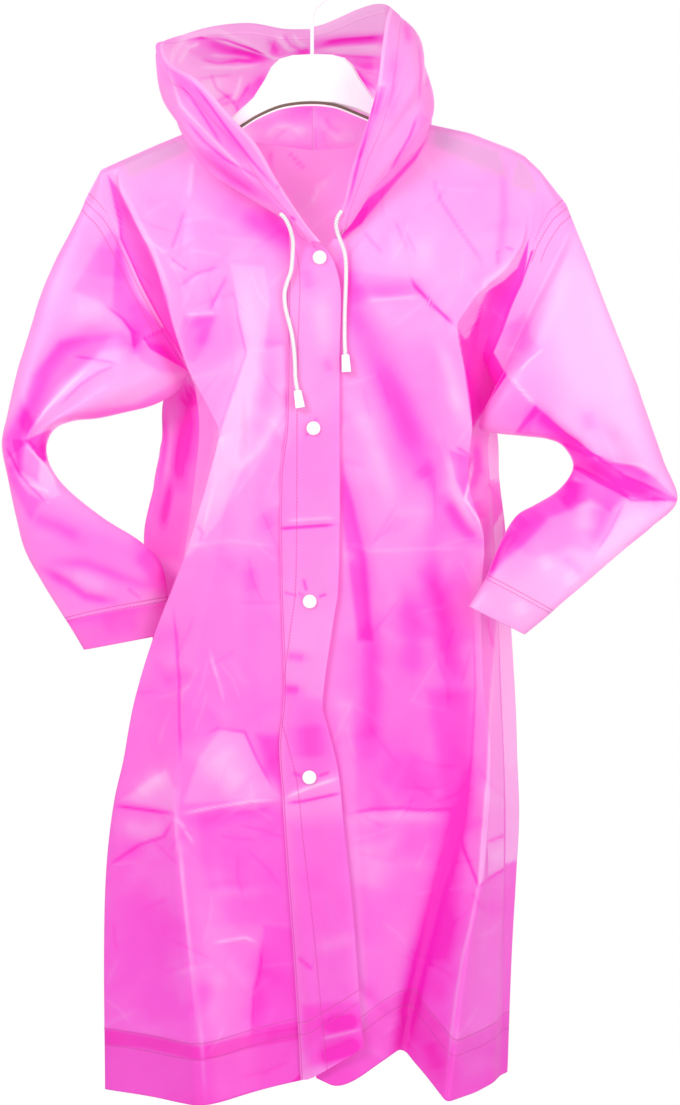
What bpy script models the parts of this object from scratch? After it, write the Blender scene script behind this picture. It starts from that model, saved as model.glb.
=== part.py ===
# A hooded raincoat of thin pink film, hanging on a white hanger.
# Right and left are the wearer's, so the right front is on the viewer's left.
# Every place is (across, down, depth) in millimetres. Across runs to the viewer's
# right from the tip of the coat's right elbow. Down is measured from the level of the
# hood's crown, and depth goes from the hanger's plane to the back.

import math

import bmesh
import bpy
from mathutils import Vector

MM = 0.001
HOOK_ACROSS = 312.0
HOOK_RISE = 40.0
WALL = 1.5
UNDERARM = (372.0, 374.0)
ARMHOLE_GAP = 1.1
PLACKET_LIFT = 2.3
UNDERARM_EASE = 4.4

HANGER_THICK = 11.0
HANGER_ROUND = 2.2
HANGER_TILT = math.radians(1.0)
NECK_TOP = 52.0
WIRE = 1.9
HOOK_BEND = 20.0
HOOK_SEAT = 0.3
STEM_PAST_NECK = 4
STEM_PARTS = 4
HOOK_TURN = (-40, 216, 15)

SNAP_WIDTH = 14.0
SNAP_HEIGHT = 3.2
SNAP_SEAT = 0.3
SNAP_SIDES = 16
SNAPS = ((319.6, 257.4), (313.5, 428.4), (309.7, 601.5), (309.4, 777.0))

CORD = 4.0
TIP_WIDTH = 9.5
TIP_LENGTH = 17.0
TIP_CLEAR = 0.8
TIP_SIDES = 12

BODY_ROWS = 30
BACK_ROWS = 24
SLEEVE_ROWS = 22
SLEEVE_SIDES = 18
HOOD_ROWS = 28
HOOD_RUNS = 13
BAND_ROWS = 34
FOLD_FADE = 1.4
SEARCH_STEPS = 8

# A panel's first levels, over the hanger's arms, as fractions of its height.
SHOULDER_LEVELS = (0.0, 0.0028, 0.0085, 0.03)
# How crisp a panel's folds are at its top edge, and how soon they soften below it.
CRISP_AT_TOP = 0.12
CRISP_GROWTH = 8
# A fold's rounding takes at most this share of the run beside it.
FOLD_REACH = 0.48
# A sleeve's section: 1 is an ellipse, and less is fuller at its edges.
SLEEVE_FULLNESS = 0.8
# The fold inside an elbow: where it lies across the section, how broad, and out or in.
ELBOW_FOLD = ((0.8, 0.13, 1), (0.5, 0.12, -1))

# Each fold line of a panel: how softly it is rounded, and rows of (down, across, depth)
# from the panel's upper edge to the hem. The lines of a panel go from one edge to the other.

RIGHT_FRONT = (
    ("placket edge", 6, ((226, 298, -23), (320, 299, -30), (430, 298, -34), (480, 290, -36),
                         (590, 289, -38), (694, 293, -40), (743, 288, -41), (799, 293, -42),
                         (892, 300, -44), (1017, 311, -46), (1076, 314, -47))),
    ("chest ridge", 40, ((202, 262, -19), (270, 258, -31), (400, 252, -37), (520, 256, -38),
                         (660, 258, -41), (800, 252, -42), (936, 258, -38), (1024, 258, -38),
                         (1088, 262, -42))),
    ("front ridge", 22, ((137, 208, -9.6), (190, 218, -20),
                         (250, 228, -30), (340, 232, -42), (432, 238, -46),
                         (552, 222, -51), (660, 200, -55), (760, 183, -58), (813, 179, -59),
                         (958, 194, -66), (1035, 202, -70), (1104, 206, -72))),
    ("neck point", 24, ((127, 195, -0.6), (129.5, 195, -5.8), (135, 196, -8.8), (200, 198, -20),
                        (306, 216, -37), (434, 234, -46), (552, 214, -49), (660, 186, -49),
                        (760, 168, -48), (870, 164, -46), (958, 171, -49), (1101, 180, -54))),
    ("shoulder", 24, ((143, 156, -0.6), (145.5, 156, -5.8), (151, 157, -8.6), (200, 166, -16),
                      (306, 190, -32), (369, 206, -38), (434, 228, -44), (552, 204, -46),
                      (660, 170, -42), (760, 152, -36), (870, 142, -30), (958, 146, -30),
                      (1096, 152, -34))),
    ("front fold", 5, ((158.5, 121, -0.6), (161, 121, -5.8), (166, 120, -8.6), (187, 118, -15),
                       (221, 133, -23), (260, 152, -29), (306, 165, -34), (369, 185, -38),
                       (418, 210, -42), (434, 216, -43), (475, 206, -43), (552, 183, -40),
                       (636, 151, -34), (700, 132, -28), (760, 121, -22), (800, 112, -16),
                       (870, 105, -11), (958, 103, -9), (1091, 104, -8))),
    ("tuck", 6, ((163, 111, -0.6), (165.5, 111, -5.8), (170, 111, -7.6), (187, 119, -8),
                 (226, 146, -6), (260, 166, -5), (306, 182, -6), (369, 208, -10), (434, 248, -16),
                 (552, 232, -16), (636, 202, -14), (700, 166, -6), (760, 140, 0), (820, 114, 2),
                 (900, 104, 0), (1091, 104, 0))),
    ("underarm", 5, ((168, 100, -0.6), (170.5, 100, -5.8), (176, 100, -7.4), (200, 104, -10),
                     (234, 121, -12), (270, 138, -12), (322, 168, -9), (369, 202, -1),
                     (400, 212, 3), (470, 218, 5), (552, 202, 7), (640, 176, 8), (720, 146, 8),
                     (800, 122, 8), (900, 106, 7), (1091, 106, 7))),
    ("armhole and side seam", 4, ((196, 85, -0.9), (204, 94, -7), (216, 106, -10), (234, 117, -12),
                                  (256, 128, -13), (287, 142, -13), (322, 161, -11),
                                  (352, 179, -7), (372, 191, 0), (400, 198, 8), (440, 199, 12),
                                  (552, 184, 14), (640, 166, 14), (720, 144, 14), (800, 122, 13),
                                  (900, 108, 12), (1091, 109, 12))),
)

LEFT_FRONT = (
    ("under edge", 6, ((250, 324, -20), (320, 306, -25), (430, 306, -29), (530, 303, -32),
                       (694, 303, -35), (799, 305, -37), (892, 310, -39), (1017, 316, -41),
                       (1077, 316, -42))),
    ("placket line", 20, ((222, 348, -20), (320, 350, -29), (430, 352, -34), (545, 352, -37),
                          (700, 350, -39), (815, 352, -40), (930, 352, -42), (1030, 346, -44),
                          (1089, 342, -45))),
    ("chest", 34, ((180, 378, -14), (250, 392, -30), (330, 400, -38), (430, 398, -43),
                   (560, 400, -45), (700, 398, -44), (815, 398, -42), (918, 396, -38),
                   (1000, 393, -34), (1054, 392, -33))),
    ("hem valley", 14, ((132, 413, -9.6), (190, 420, -20), (240, 424, -28), (330, 432, -38),
                        (430, 438, -41), (560, 444, -43), (700, 452, -39), (815, 455, -33),
                        (918, 432, -24), (993, 414, -18), (1049, 403, -16))),
    ("neck point", 20, ((121.5, 426, -0.6), (124, 426, -5.8), (129.5, 427, -8.8), (200, 438, -21),
                        (330, 439, -38), (430, 446, -42), (560, 454, -44), (700, 460, -41),
                        (815, 464, -37), (918, 441, -31), (993, 423, -28), (1061, 413, -28))),
    ("shoulder", 20, ((131, 470, -0.6), (133.5, 470, -5.8), (139, 470, -8.6), (200, 468, -20),
                      (262, 458, -29), (310, 446, -36), (387, 456, -43), (478, 458, -44),
                      (560, 466, -46), (700, 470, -44), (815, 474, -42), (918, 452, -40),
                      (993, 434, -38), (1074, 425, -40))),
    ("hem ridge", 8, ((147, 512, -0.6), (149.5, 512, -5.8), (155, 512, -8.6), (200, 518, -16),
                      (238, 524, -21), (262, 514, -25), (280, 498, -30), (294, 482, -34),
                      (310, 470, -38), (328, 460, -41), (387, 471, -44), (429, 475, -46),
                      (478, 470, -46), (507, 477, -48), (539, 487, -50), (600, 485, -50),
                      (680, 485, -50), (760, 493, -50), (883, 482, -54), (940, 469, -58),
                      (1042, 454, -62), (1100, 446, -64))),
    ("tuck", 6, ((154, 525, -0.6), (156.5, 525, -5.8), (162, 526, -7.6), (205, 532, -12),
                 (240, 526, -14), (275, 499, -14), (300, 468, -14), (330, 446, -14),
                 (387, 448, -14), (429, 450, -15), (507, 452, -16), (600, 460, -18),
                 (680, 464, -20), (760, 476, -24), (883, 490, -26), (940, 486, -28),
                 (1042, 480, -32), (1092, 476, -34))),
    ("side pleat", 5, ((169, 541, -0.6), (171.5, 541, -5.8), (176, 542, -7.4), (212, 544, -11),
                       (240, 533, -14), (275, 520, -13), (300, 505, -10), (330, 489, -5),
                       (368, 480, 6), (400, 480, 9), (429, 482, 9), (507, 490, 0), (600, 498, -2),
                       (680, 500, -4), (760, 504, -8), (883, 504, -12), (958, 500, -14),
                       (1042, 496, -14), (1084, 494, -14))),
    ("armhole and side seam", 4, ((202, 567, -0.9), (208, 560, -7), (216, 551, -10),
                                  (240, 536, -13), (265, 527, -13), (290, 519, -12),
                                  (330, 503, -10), (354, 493, -5), (374, 490, 3), (400, 492, 10),
                                  (440, 489, 12), (507, 493, 12), (600, 498, 11), (700, 502, 10),
                                  (813, 506, 8), (958, 504, 4), (1078, 501, 4))),
)

BACK = (
    ("right seam", 4, ((196, 85, 0.9), (204, 92, 8), (216, 102, 12), (234, 112, 15),
                       (256, 123, 17), (287, 139, 17), (322, 159, 15), (352, 176, 9),
                       (372, 188, 3), (400, 195, 10.2), (440, 197, 14.2), (552, 183, 16.2),
                       (640, 165, 16.2), (720, 143, 16.2), (800, 121, 15.2), (900, 107, 14.2),
                       (1091, 108, 14.2))),
    ("right fold", 7, ((165, 107, 0.6), (167.5, 107, 5.8), (173, 108, 8.6), (234, 134, 20),
                       (322, 174, 26), (366, 182, 26), (394, 160, 25), (440, 157, 25),
                       (480, 150, 25), (533, 139, 25), (600, 144, 27), (650, 148, 27),
                       (700, 136, 26), (760, 124, 25), (800, 114, 25), (870, 106, 24),
                       (958, 104, 23), (1088, 105, 23))),
    ("right blade", 26, ((143, 156, 0.6), (145.5, 156, 5.8), (151, 156, 8.6), (234, 176, 28),
                         (322, 204, 38), (400, 198, 45), (533, 186, 51), (700, 174, 55),
                         (870, 148, 54), (1084, 144, 56))),
    ("right neck point", 24, ((127, 195, 0.6), (129.5, 195, 5.8), (135, 196, 9), (234, 202, 30),
                              (400, 222, 43), (533, 214, 48), (700, 202, 49), (870, 180, 47),
                              (1080, 172, 47))),
    ("right gather", 20, ((135, 209, 10), (234, 226, 29), (400, 244, 40), (533, 240, 43),
                          (700, 230, 41), (870, 210, 38), (1076, 202, 36))),
    ("middle right", 26, ((138, 250, 24), (160, 250, 28), (300, 262, 40), (460, 274, 53),
                          (700, 268, 62), (900, 262, 66), (1068, 258, 68))),
    ("middle", 26, ((147, 312, 28), (170, 312, 31), (300, 312, 38), (460, 316, 43),
                    (700, 318, 45), (900, 320, 46), (1058, 322, 46))),
    ("middle left", 26, ((144, 362, 25), (164, 364, 29), (300, 366, 40), (460, 370, 53),
                         (700, 376, 62), (900, 380, 66), (1040, 384, 68))),
    ("left gather", 20, ((130, 411, 10), (234, 408, 29), (400, 404, 39), (533, 410, 42),
                         (700, 418, 40), (870, 426, 36), (1041, 430, 34))),
    ("left neck point", 24, ((121.5, 426, 0.6), (124, 426, 5.8), (129.5, 427, 9), (234, 434, 29),
                             (400, 430, 41), (533, 436, 45), (700, 446, 46), (870, 454, 44),
                             (1050, 457, 43))),
    ("left blade", 26, ((132, 473, 0.6), (134.5, 473, 5.8), (140, 472, 8.6), (234, 464, 28),
                        (322, 454, 38), (400, 456, 42), (533, 464, 47), (700, 472, 51),
                        (870, 480, 51), (1062, 482, 51))),
    ("left fold", 7, ((156, 527, 0.6), (158.5, 527, 5.8), (164, 527, 8.6), (234, 512, 20),
                      (322, 490, 26), (366, 482, 26), (400, 493, 25), (433, 501, 25),
                      (471, 502, 25), (527, 509, 25), (622, 515, 25), (700, 520, 25),
                      (760, 522, 24), (813, 524, 23), (870, 521, 22), (958, 516, 19),
                      (1074, 512, 19))),
    ("left seam", 4, ((202, 567, 0.9), (208, 562, 8), (216, 554, 12), (240, 541, 16),
                      (265, 529, 17), (290, 521, 17), (330, 504, 13), (354, 495, 10),
                      (374, 491, 6), (400, 493, 12.2), (440, 490, 14.2), (507, 494, 14.2),
                      (600, 499, 13.2), (700, 503, 12.2), (813, 507, 10.2), (958, 505, 6.2),
                      (1078, 502, 6.2))),
)

# The placket's outer part, past the run that lies on the right front.
PLACKET_LAP = (0.25, 0.02)
PLACKET_TOP = 0.006
PLACKET = (
    ("snap line", 14, ((238, 312, -28), (320, 320, -33.6), (430, 318, -37.6), (520, 318, -39.6),
                       (600, 315, -41.6), (700, 310, -43.2), (777, 314, -44.8), (892, 328, -47),
                       (1000, 340, -48.8), (1058, 345, -50))),
    ("free edge", 3, ((247, 325, -27.6), (262, 334, -30), (290, 340.5, -32.6), (353, 339.5, -35.4),
                      (430, 339.5, -38), (520, 339.5, -40.6), (590, 338, -42.6), (623, 333, -43),
                      (705, 322.5, -43.4), (728, 328, -44), (770, 338, -44.8), (830, 344, -46),
                      (914, 353, -47.4), (1020, 361, -48.8), (1046, 363.5, -49.6))),
)

# Where a panel's columns stand: a whole number is on a fold line.
RIGHT_STOPS = (0, 0.5, 1, 1.5, 2, 3, 3.5, 4, 4.5, 4.9, 5, 5.1, 5.5, 5.88, 6, 6.12, 6.5, 7, 8)
LEFT_STOPS = (0, 0.5, 1, 1.5, 2, 2.5, 3, 4, 4.5, 5, 5.5, 5.85, 6, 6.15, 6.5, 6.88, 7, 7.12, 7.5,
              8, 9)
BACK_STOPS = (0, 0.5, 0.85, 1, 1.15, 1.6, 2, 2.5, 3, 4, 4.5, 5, 5.5, 6, 6.5, 7, 7.5, 8, 9, 9.5,
              10, 10.4, 10.85, 11, 11.15, 11.5, 12)
PLACKET_STOPS = (0, 0.5, 1)

# A sleeve's sections, from below the armhole to the cuff: its outer and inner edge as seen
# from the front (across and down), its middle's depth, half its thickness, and how far the
# fold on the inner side of its front stands out.
RIGHT_SLEEVE = (
    (79, 211, 184, 380, -1, 17, 0),
    (68, 233, 179, 388, -4, 19, 2),
    (55, 258, 168, 397, -7, 20, 5),
    (41, 291, 149, 406, -10, 20, 8),
    (29, 328, 125, 412, -12, 20, 9),
    (17, 368, 98, 418, -13, 20, 9),
    (7, 412, 72, 421, -14, 20, 7),
    (1, 444, 54, 429, -14, 19, 4),
    (7, 478, 46, 447, -14, 18, 0),
    (15, 516, 51, 468, -13, 18, 0),
    (24, 550, 68, 490, -12, 17, 0),
    (40, 580, 103, 518, -11, 16, 0),
    (54, 603, 138, 540, -10, 14, 0),
    (68, 625, 160, 562, -10, 12, 0),
    (76, 638, 167, 594, -10, 11, 0),
    (83, 650, 167, 634, -10, 10, 0),
)
LEFT_SLEEVE = (
    (573, 217, 495, 388, 1, 13, 0),
    (580, 236, 485, 408, -9, 13, 0),
    (591, 264, 480, 428, -16, 16, 0),
    (603, 296, 497, 433, -18, 20, 0),
    (617, 332, 524, 436, -20, 21, 0),
    (632, 370, 548, 439, -22, 22, 2),
    (647, 412, 563, 446, -23, 22, 5),
    (664, 460, 573, 462, -20, 20, 6),
    (678, 500, 570, 476, -18, 15, 0),
    (652, 527, 556, 492, -24, 18, 0),
    (626, 548, 536, 504, -32, 18, 0),
    (600, 570, 516, 516, -42, 17, 0),
    (579, 588, 500, 542, -52, 15, 0),
    (562, 602, 487, 574, -60, 13, 0),
    (545, 617, 478, 590, -65, 12, 0),
    (524, 634, 468, 606, -68, 10, 0),
)

# The hood's sections, from the throat round to the middle of the back. Each is a run of
# points from the neck seam over the hanging roll to the edge with the drawcord.
RIGHT_HOOD = (
    ((317, 239, -30), (311, 244, -35), (310, 240, -43), (321, 243, -45)),
    ((292, 223, -28), (279, 217, -38), (285, 214, -47), (304, 222, -45)),
    ((266, 201, -22), (252, 200, -42), (261, 184, -53), (277, 181, -49)),
    ((238, 176, -18), (230, 187, -44), (235, 160, -58), (256, 145, -54)),
    ((216, 152, -15), (209, 173, -42), (206, 136, -60), (231, 118, -56)),
    ((201, 133, -11), (192, 152, -34), (181, 104, -54), (200, 83, -52)),
    ((196, 123, 0), (179, 128, -14), (161, 80, -24), (171, 64, -36)),
    ((200, 123, 11), (180, 122, 14), (154, 50, 6), (163, 42, -12)),
    ((214, 128, 20), (190, 134, 46), (168, 60, 50), (184, 31, 6)),
    ((236, 134, 27), (216, 160, 68), (202, 66, 78), (214, 22, 18)),
    ((262, 139, 31), (250, 184, 82), (244, 76, 90), (250, 19, 22)),
    ((288, 143, 33), (282, 200, 90), (280, 84, 95), (284, 25, 18)),
    ((311.6, 145, 34), (311.6, 206, 94), (311.6, 88, 98), (311.6, 26, 8)),
)
LEFT_HOOD = (
    ((332, 236, -24), (339, 235, -30), (342, 226, -36), (336, 222, -35)),
    ((348, 218, -23), (352, 220, -36), (353, 196, -46), (345, 200, -42)),
    ((364, 192, -20), (370, 193, -42), (369, 164, -54), (352, 168, -50)),
    ((381, 168, -17), (389, 172, -44), (389, 134, -60), (366, 128, -55)),
    ((398, 147, -14), (409, 155, -42), (409, 104, -62), (377, 88, -56)),
    ((412, 127, -11), (424, 140, -32), (423, 80, -52), (382, 50, -50)),
    ((416.6, 113, 0), (431.5, 119.5, -12), (426, 54, -22), (386, 20, -34)),
    ((415.6, 114, 12), (429, 116, 20), (421, 38, 14), (389, 5, -12)),
    ((402, 125, 22), (415, 140, 52), (405, 38, 52), (376, 1, 6)),
    ((378, 133, 28), (391, 166, 74), (384, 54, 80), (357, 6, 14)),
    ((346, 139, 32), (354, 190, 88), (350, 74, 92), (337, 15, 14)),
    ((312.4, 145, 34), (312.4, 206, 94), (312.4, 88, 98), (312.4, 26, 8)),
)

# Long folds that run round the hood: where one lies on a section's run, how far it stands
# out in mm (or in), how broad it is in runs, and its first and last section.
RIGHT_HOOD_FOLDS = ((1.3, -4.5, 0.16, 1.6, 7.2), (1.62, 3.5, 0.2, 2, 9), (2.2, -4, 0.2, 2.4, 8),
                    (1.5, -6, 0.28, 8.6, 13.4), (0.6, 5, 0.26, 8, 13.4))
LEFT_HOOD_FOLDS = ((1.35, 3, 0.18, 1.6, 7), (1.8, -4.5, 0.22, 2, 8), (2.4, 3, 0.2, 2, 7),
                   (1.4, -5, 0.26, 8, 12.4), (0.7, 4, 0.26, 7.6, 12.4))

# The hanger's upper and lower edge, half of it: (out from the middle, below the neck's top).
HANGER_UPPER = ((0, 0), (20, 0.8), (33, 4.5), (41, 12), (48, 25), (60, 43), (76, 57), (94, 72),
                (115, 82.5), (156, 95.5), (192, 109))
HANGER_LOWER = ((192, 135), (160, 119), (120, 99), (90, 82), (64, 67), (44, 57), (22, 51), (0, 49.5))
# The arm's rounded tip: out, below, its radius, how flat, and its first angle and step.
HANGER_TIP = (197, 122, 12, 0.5, -62, 31)
TIP_CORNERS = 5

# The two free ends of the drawcord, from the casing down to their tips.
RIGHT_CORD = ((280, 214, -48.7), (285, 219, -48.7), (290, 229, -45.6), (293, 242, -39.6),
              (292.5, 256, -36.9), (291, 271, -35.5), (287, 283, -34.9), (284.5, 294, -34.6),
              (285.5, 308, -35.1), (289, 322, -36.5), (292, 335, -37.2), (294, 350, -37.7),
              (295, 364, -38.2), (295.5, 378, -39), (297.5, 391, -41.6))
LEFT_CORD = ((342, 211, -43.2), (338.5, 216, -41.4), (336.2, 223, -38.6), (337, 231, -35),
             (340.5, 241, -32), (344.5, 252, -30), (346, 265, -29.4), (346, 280, -29.8),
             (345.4, 296, -30.6), (344.8, 312, -31.6), (344.6, 328, -32.7), (344.7, 342, -34.2),
             (345.4, 355, -37.6))


def place(across, down, depth):
    """A point of the coat, in millimetres from the hanging point."""
    return Vector((across - HOOK_ACROSS, depth, -(down + HOOK_RISE)))


def along(rows, level):
    """A smooth line through rows of (down, across, depth), read at one level."""
    last = len(rows) - 1
    run = 0
    while run < last - 1 and level > rows[run + 1][0]:
        run += 1

    def slope(index, column):
        before = rows[max(index - 1, 0)]
        after = rows[min(index + 1, last)]
        return (after[column] - before[column]) / (after[0] - before[0])

    start, end = rows[run], rows[run + 1]
    span = end[0] - start[0]
    t = min(max((level - start[0]) / span, 0.0), 1.0)
    found = []
    for column in (1, 2):
        a, b = slope(run, column) * span, slope(run + 1, column) * span
        p, q = start[column], end[column]
        bend = (2 * p - 2 * q + a + b) * t ** 3 + (3 * q - 3 * p - 2 * a - b) * t ** 2 + a * t + p
        found.append(bend)
    return place(found[0], level, found[1])


def on_section(points, softness, stop):
    """A point on straight runs between folds, each fold rounded by its softness."""
    last = len(points) - 1
    near = round(stop)
    if 0 < near < last:
        before, fold, after = points[near - 1:near + 2]
        shortest = max(min((before - fold).length, (after - fold).length), 0.001)
        reach = min(FOLD_REACH, softness[near] / shortest)
        if abs(stop - near) < reach:
            t = (stop - near + reach) / (2 * reach)
            start, end = fold.lerp(before, reach), fold.lerp(after, reach)
            return start * (1 - t) ** 2 + fold * 2 * t * (1 - t) + end * t ** 2
    run = min(int(stop), last - 1)
    return points[run].lerp(points[run + 1], stop - run)


def panel_point(folds, stop, fraction):
    """A point of a panel: stop counts its fold lines, fraction goes from top to hem.

    Over the hanger's arms the folds are crisp, and they soften below.
    """
    points = []
    for name, softness, rows in folds:
        top, hem = rows[0][0], rows[-1][0]
        points.append(along(rows, top + (hem - top) * fraction))
    crisp = min(1.0, CRISP_AT_TOP + CRISP_GROWTH * fraction)
    return on_section(points, [fold[1] * crisp for fold in folds], stop)


def levels(count):
    """Fractions of a panel's height, closer together over the shoulder."""
    rest = count - len(SHOULDER_LEVELS)
    start = SHOULDER_LEVELS[-1]
    return list(SHOULDER_LEVELS) + [start + (1 - start) * (row + 1) / rest for row in range(rest)]


def panel_grid(folds, stops, count):
    return [[panel_point(folds, stop, fraction) for stop in stops] for fraction in levels(count)]


def spline(points, t):
    """A Catmull-Rom curve through points, t counting them."""
    last = len(points) - 1
    run = min(int(t), last - 1)
    t -= run
    b, c = points[run], points[run + 1]
    a = points[run - 1] if run else b * 2 - c
    d = points[run + 2] if run + 2 <= last else c * 2 - b
    return (b * 2 + (c - a) * t + (a * 2 - b * 5 + c * 4 - d) * t ** 2
            + (b * 3 - a - c * 3 + d) * t ** 3) * 0.5


def film(name, colour, roughness=0.32):
    """Soft PVC-like film, or moulded plastic: glossy and not metallic."""
    finish = bpy.data.materials.new(name)
    finish.use_nodes = True
    shader = finish.node_tree.nodes["Principled BSDF"]
    shader.inputs["Base Color"].default_value = (*colour, 1)
    shader.inputs["Roughness"].default_value = roughness
    shader.inputs["Metallic"].default_value = 0
    return finish


def add_mesh(name, corners, faces, finish):
    """One named object from corners in millimetres."""
    mesh = bpy.data.meshes.new(name)
    mesh.from_pydata([corner * MM for corner in corners], [], faces)
    work = bmesh.new()
    work.from_mesh(mesh)
    bmesh.ops.recalc_face_normals(work, faces=work.faces)
    work.to_mesh(mesh)
    work.free()
    mesh.materials.append(finish)
    mesh.shade_smooth()
    piece = bpy.data.objects.new(name, mesh)
    bpy.context.collection.objects.link(piece)
    return piece


def normals(grid, closed):
    """The direction square to the cloth at each point of a grid."""
    rows, columns = len(grid), len(grid[0])
    found = []
    for row in range(rows):
        line = []
        for column in range(columns):
            if closed:
                before, after = grid[row][column - 1], grid[row][(column + 1) % columns]
            else:
                before = grid[row][max(column - 1, 0)]
                after = grid[row][min(column + 1, columns - 1)]
            above, below = grid[max(row - 1, 0)][column], grid[min(row + 1, rows - 1)][column]
            line.append((after - before).cross(below - above).normalized())
        found.append(line)
    return found


def wall(name, grid, finish, closed=False):
    """Cloth through a grid of points, WALL thick, with its rims closed."""
    rows, columns = len(grid), len(grid[0])
    square = normals(grid, closed)
    corners = []
    for side in (0.5, -0.5):
        for row in range(rows):
            for column in range(columns):
                corners.append(grid[row][column] + square[row][column] * WALL * side)

    def corner(side, row, column):
        return (side * rows + row) * columns + column % columns

    faces = []
    runs = columns if closed else columns - 1
    for row in range(rows - 1):
        for column in range(runs):
            for side in (0, 1):
                faces.append([corner(side, row, column), corner(side, row + 1, column),
                              corner(side, row + 1, column + 1), corner(side, row, column + 1)])
    for column in range(runs):
        for row in (0, rows - 1):
            faces.append([corner(0, row, column), corner(0, row, column + 1),
                          corner(1, row, column + 1), corner(1, row, column)])
    if not closed:
        for row in range(rows - 1):
            for column in (0, columns - 1):
                faces.append([corner(0, row, column), corner(0, row + 1, column),
                              corner(1, row + 1, column), corner(1, row, column)])
    return add_mesh(name, corners, faces, finish)


def armhole(front, back, underarm, sides):
    """The ring that a sleeve starts from: down the front's edge and up the back's."""
    front_rows, back_rows = front[-1][2], back[2]
    top = front_rows[0][0]
    ring = []
    for side in range(sides):
        turn = 2 * math.pi * side / sides
        share = (1 - math.cos(turn)) / 2
        rows = front_rows if turn <= math.pi else back_rows
        ring.append(along(rows, top + (underarm - top) * share))
    return ring


def sleeve_ring(section, sides):
    """One ring of a flattened sleeve, from its outer edge over the front."""
    outer_across, outer_down, inner_across, inner_down, depth, half, fold = section
    ring = []
    for side in range(sides):
        turn = 2 * math.pi * side / sides
        share = (1 - math.cos(turn)) / 2
        bulge = half * math.copysign(abs(math.sin(turn)) ** SLEEVE_FULLNESS, math.sin(turn))
        if turn < math.pi:
            bulge += fold * sum(out * math.exp(-((share - lies_at) / breadth) ** 2)
                                for lies_at, breadth, out in ELBOW_FOLD)
        ring.append(place(outer_across + (inner_across - outer_across) * share,
                          outer_down + (inner_down - outer_down) * share, depth - bulge))
    return ring


def add_sleeve(name, front, back, underarm, sections, finish):
    """A sleeve from the armhole to the cuff, its wall clear of the armhole by the seam's gap."""
    start = armhole(front, back, underarm, SLEEVE_SIDES)
    rings = [sleeve_ring(section, SLEEVE_SIDES) for section in sections]
    first = []
    for side in range(SLEEVE_SIDES):
        share = (1 - math.cos(2 * math.pi * side / SLEEVE_SIDES)) / 2
        lead = (rings[0][side] - start[side]).normalized()
        first.append(start[side] + lead * (ARMHOLE_GAP + WALL / 2 + UNDERARM_EASE * share ** 4))
    rings = [first] + rings
    grid = []
    for row in range(SLEEVE_ROWS):
        t = (len(rings) - 1) * row / (SLEEVE_ROWS - 1)
        grid.append([spline([ring[side] for ring in rings], t) for side in range(SLEEVE_SIDES)])
    return wall(name, grid, finish, closed=True)


def fold_height(folds, section, run):
    """How far the long folds carry the hood's cloth out at one place."""
    height = 0.0
    for lies_at, stands_out, breadth, first, last in folds:
        fade = min(1.0, (section - first) / FOLD_FADE, (last - section) / FOLD_FADE)
        if fade > 0:
            height += stands_out * fade * math.exp(-((run - lies_at) / breadth) ** 2)
    return height


def add_hood(name, sections, folds, outward, finish):
    """Half of the hood, from the neck seam over the roll to the face edge."""
    table = [[place(*point) for point in section] for section in sections]
    last, across = len(table) - 1, len(table[0]) - 1
    grid = []
    for row in range(HOOD_ROWS):
        t = last * row / (HOOD_ROWS - 1)
        run = [spline([section[column] for section in table], t) for column in range(across + 1)]
        grid.append([spline(run, across * step / (HOOD_RUNS - 1)) for step in range(HOOD_RUNS)])
    square = normals(grid, False)
    for row in range(HOOD_ROWS):
        for step in range(HOOD_RUNS):
            height = fold_height(folds, last * row / (HOOD_ROWS - 1), across * step / (HOOD_RUNS - 1))
            move = square[row][step] * height * outward
            grid[row][step] += Vector((0 if row == HOOD_ROWS - 1 else move.x, move.y, move.z))
    return wall(name, grid, finish)


def add_hanger(finish):
    """The plastic hanger: its outline in the coat's plane, thickened and rounded."""
    half = [*HANGER_UPPER]
    tip_out, tip_down, tip_round, flatness, first, spacing = HANGER_TIP
    for step in range(TIP_CORNERS):
        turn = math.radians(first + spacing * step)
        half.append((tip_out + tip_round * math.cos(turn) * flatness,
                     tip_down + tip_round * math.sin(turn)))
    half += HANGER_LOWER
    outline = list(half) + [(-out, down) for out, down in reversed(half[1:-1])]
    work = bmesh.new()
    ring = []
    for out, down in outline:
        x = out * math.cos(HANGER_TILT) + down * math.sin(HANGER_TILT)
        z = out * math.sin(HANGER_TILT) - down * math.cos(HANGER_TILT)
        point = Vector((x, -HANGER_THICK / 2, z - NECK_TOP - HOOK_RISE))
        ring.append(work.verts.new(point * MM))
    face = work.faces.new(ring)
    raised = bmesh.ops.extrude_face_region(work, geom=[face])
    moved = [item for item in raised["geom"] if isinstance(item, bmesh.types.BMVert)]
    bmesh.ops.translate(work, verts=moved, vec=(0, HANGER_THICK * MM, 0))
    rims = [edge for edge in work.edges if abs(edge.verts[0].co.y - edge.verts[1].co.y) < 1e-6]
    bmesh.ops.bevel(work, geom=rims, offset=HANGER_ROUND * MM, offset_type="OFFSET", segments=1,
                    profile=0.5, affect="EDGES", clamp_overlap=True, material=-1)
    bmesh.ops.triangulate(work, faces=work.faces)
    bmesh.ops.recalc_face_normals(work, faces=work.faces)
    mesh = bpy.data.meshes.new("hanger_body")
    work.to_mesh(mesh)
    work.free()
    mesh.materials.append(finish)
    piece = bpy.data.objects.new("hanger_body", mesh)
    bpy.context.collection.objects.link(piece)
    return piece


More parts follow.
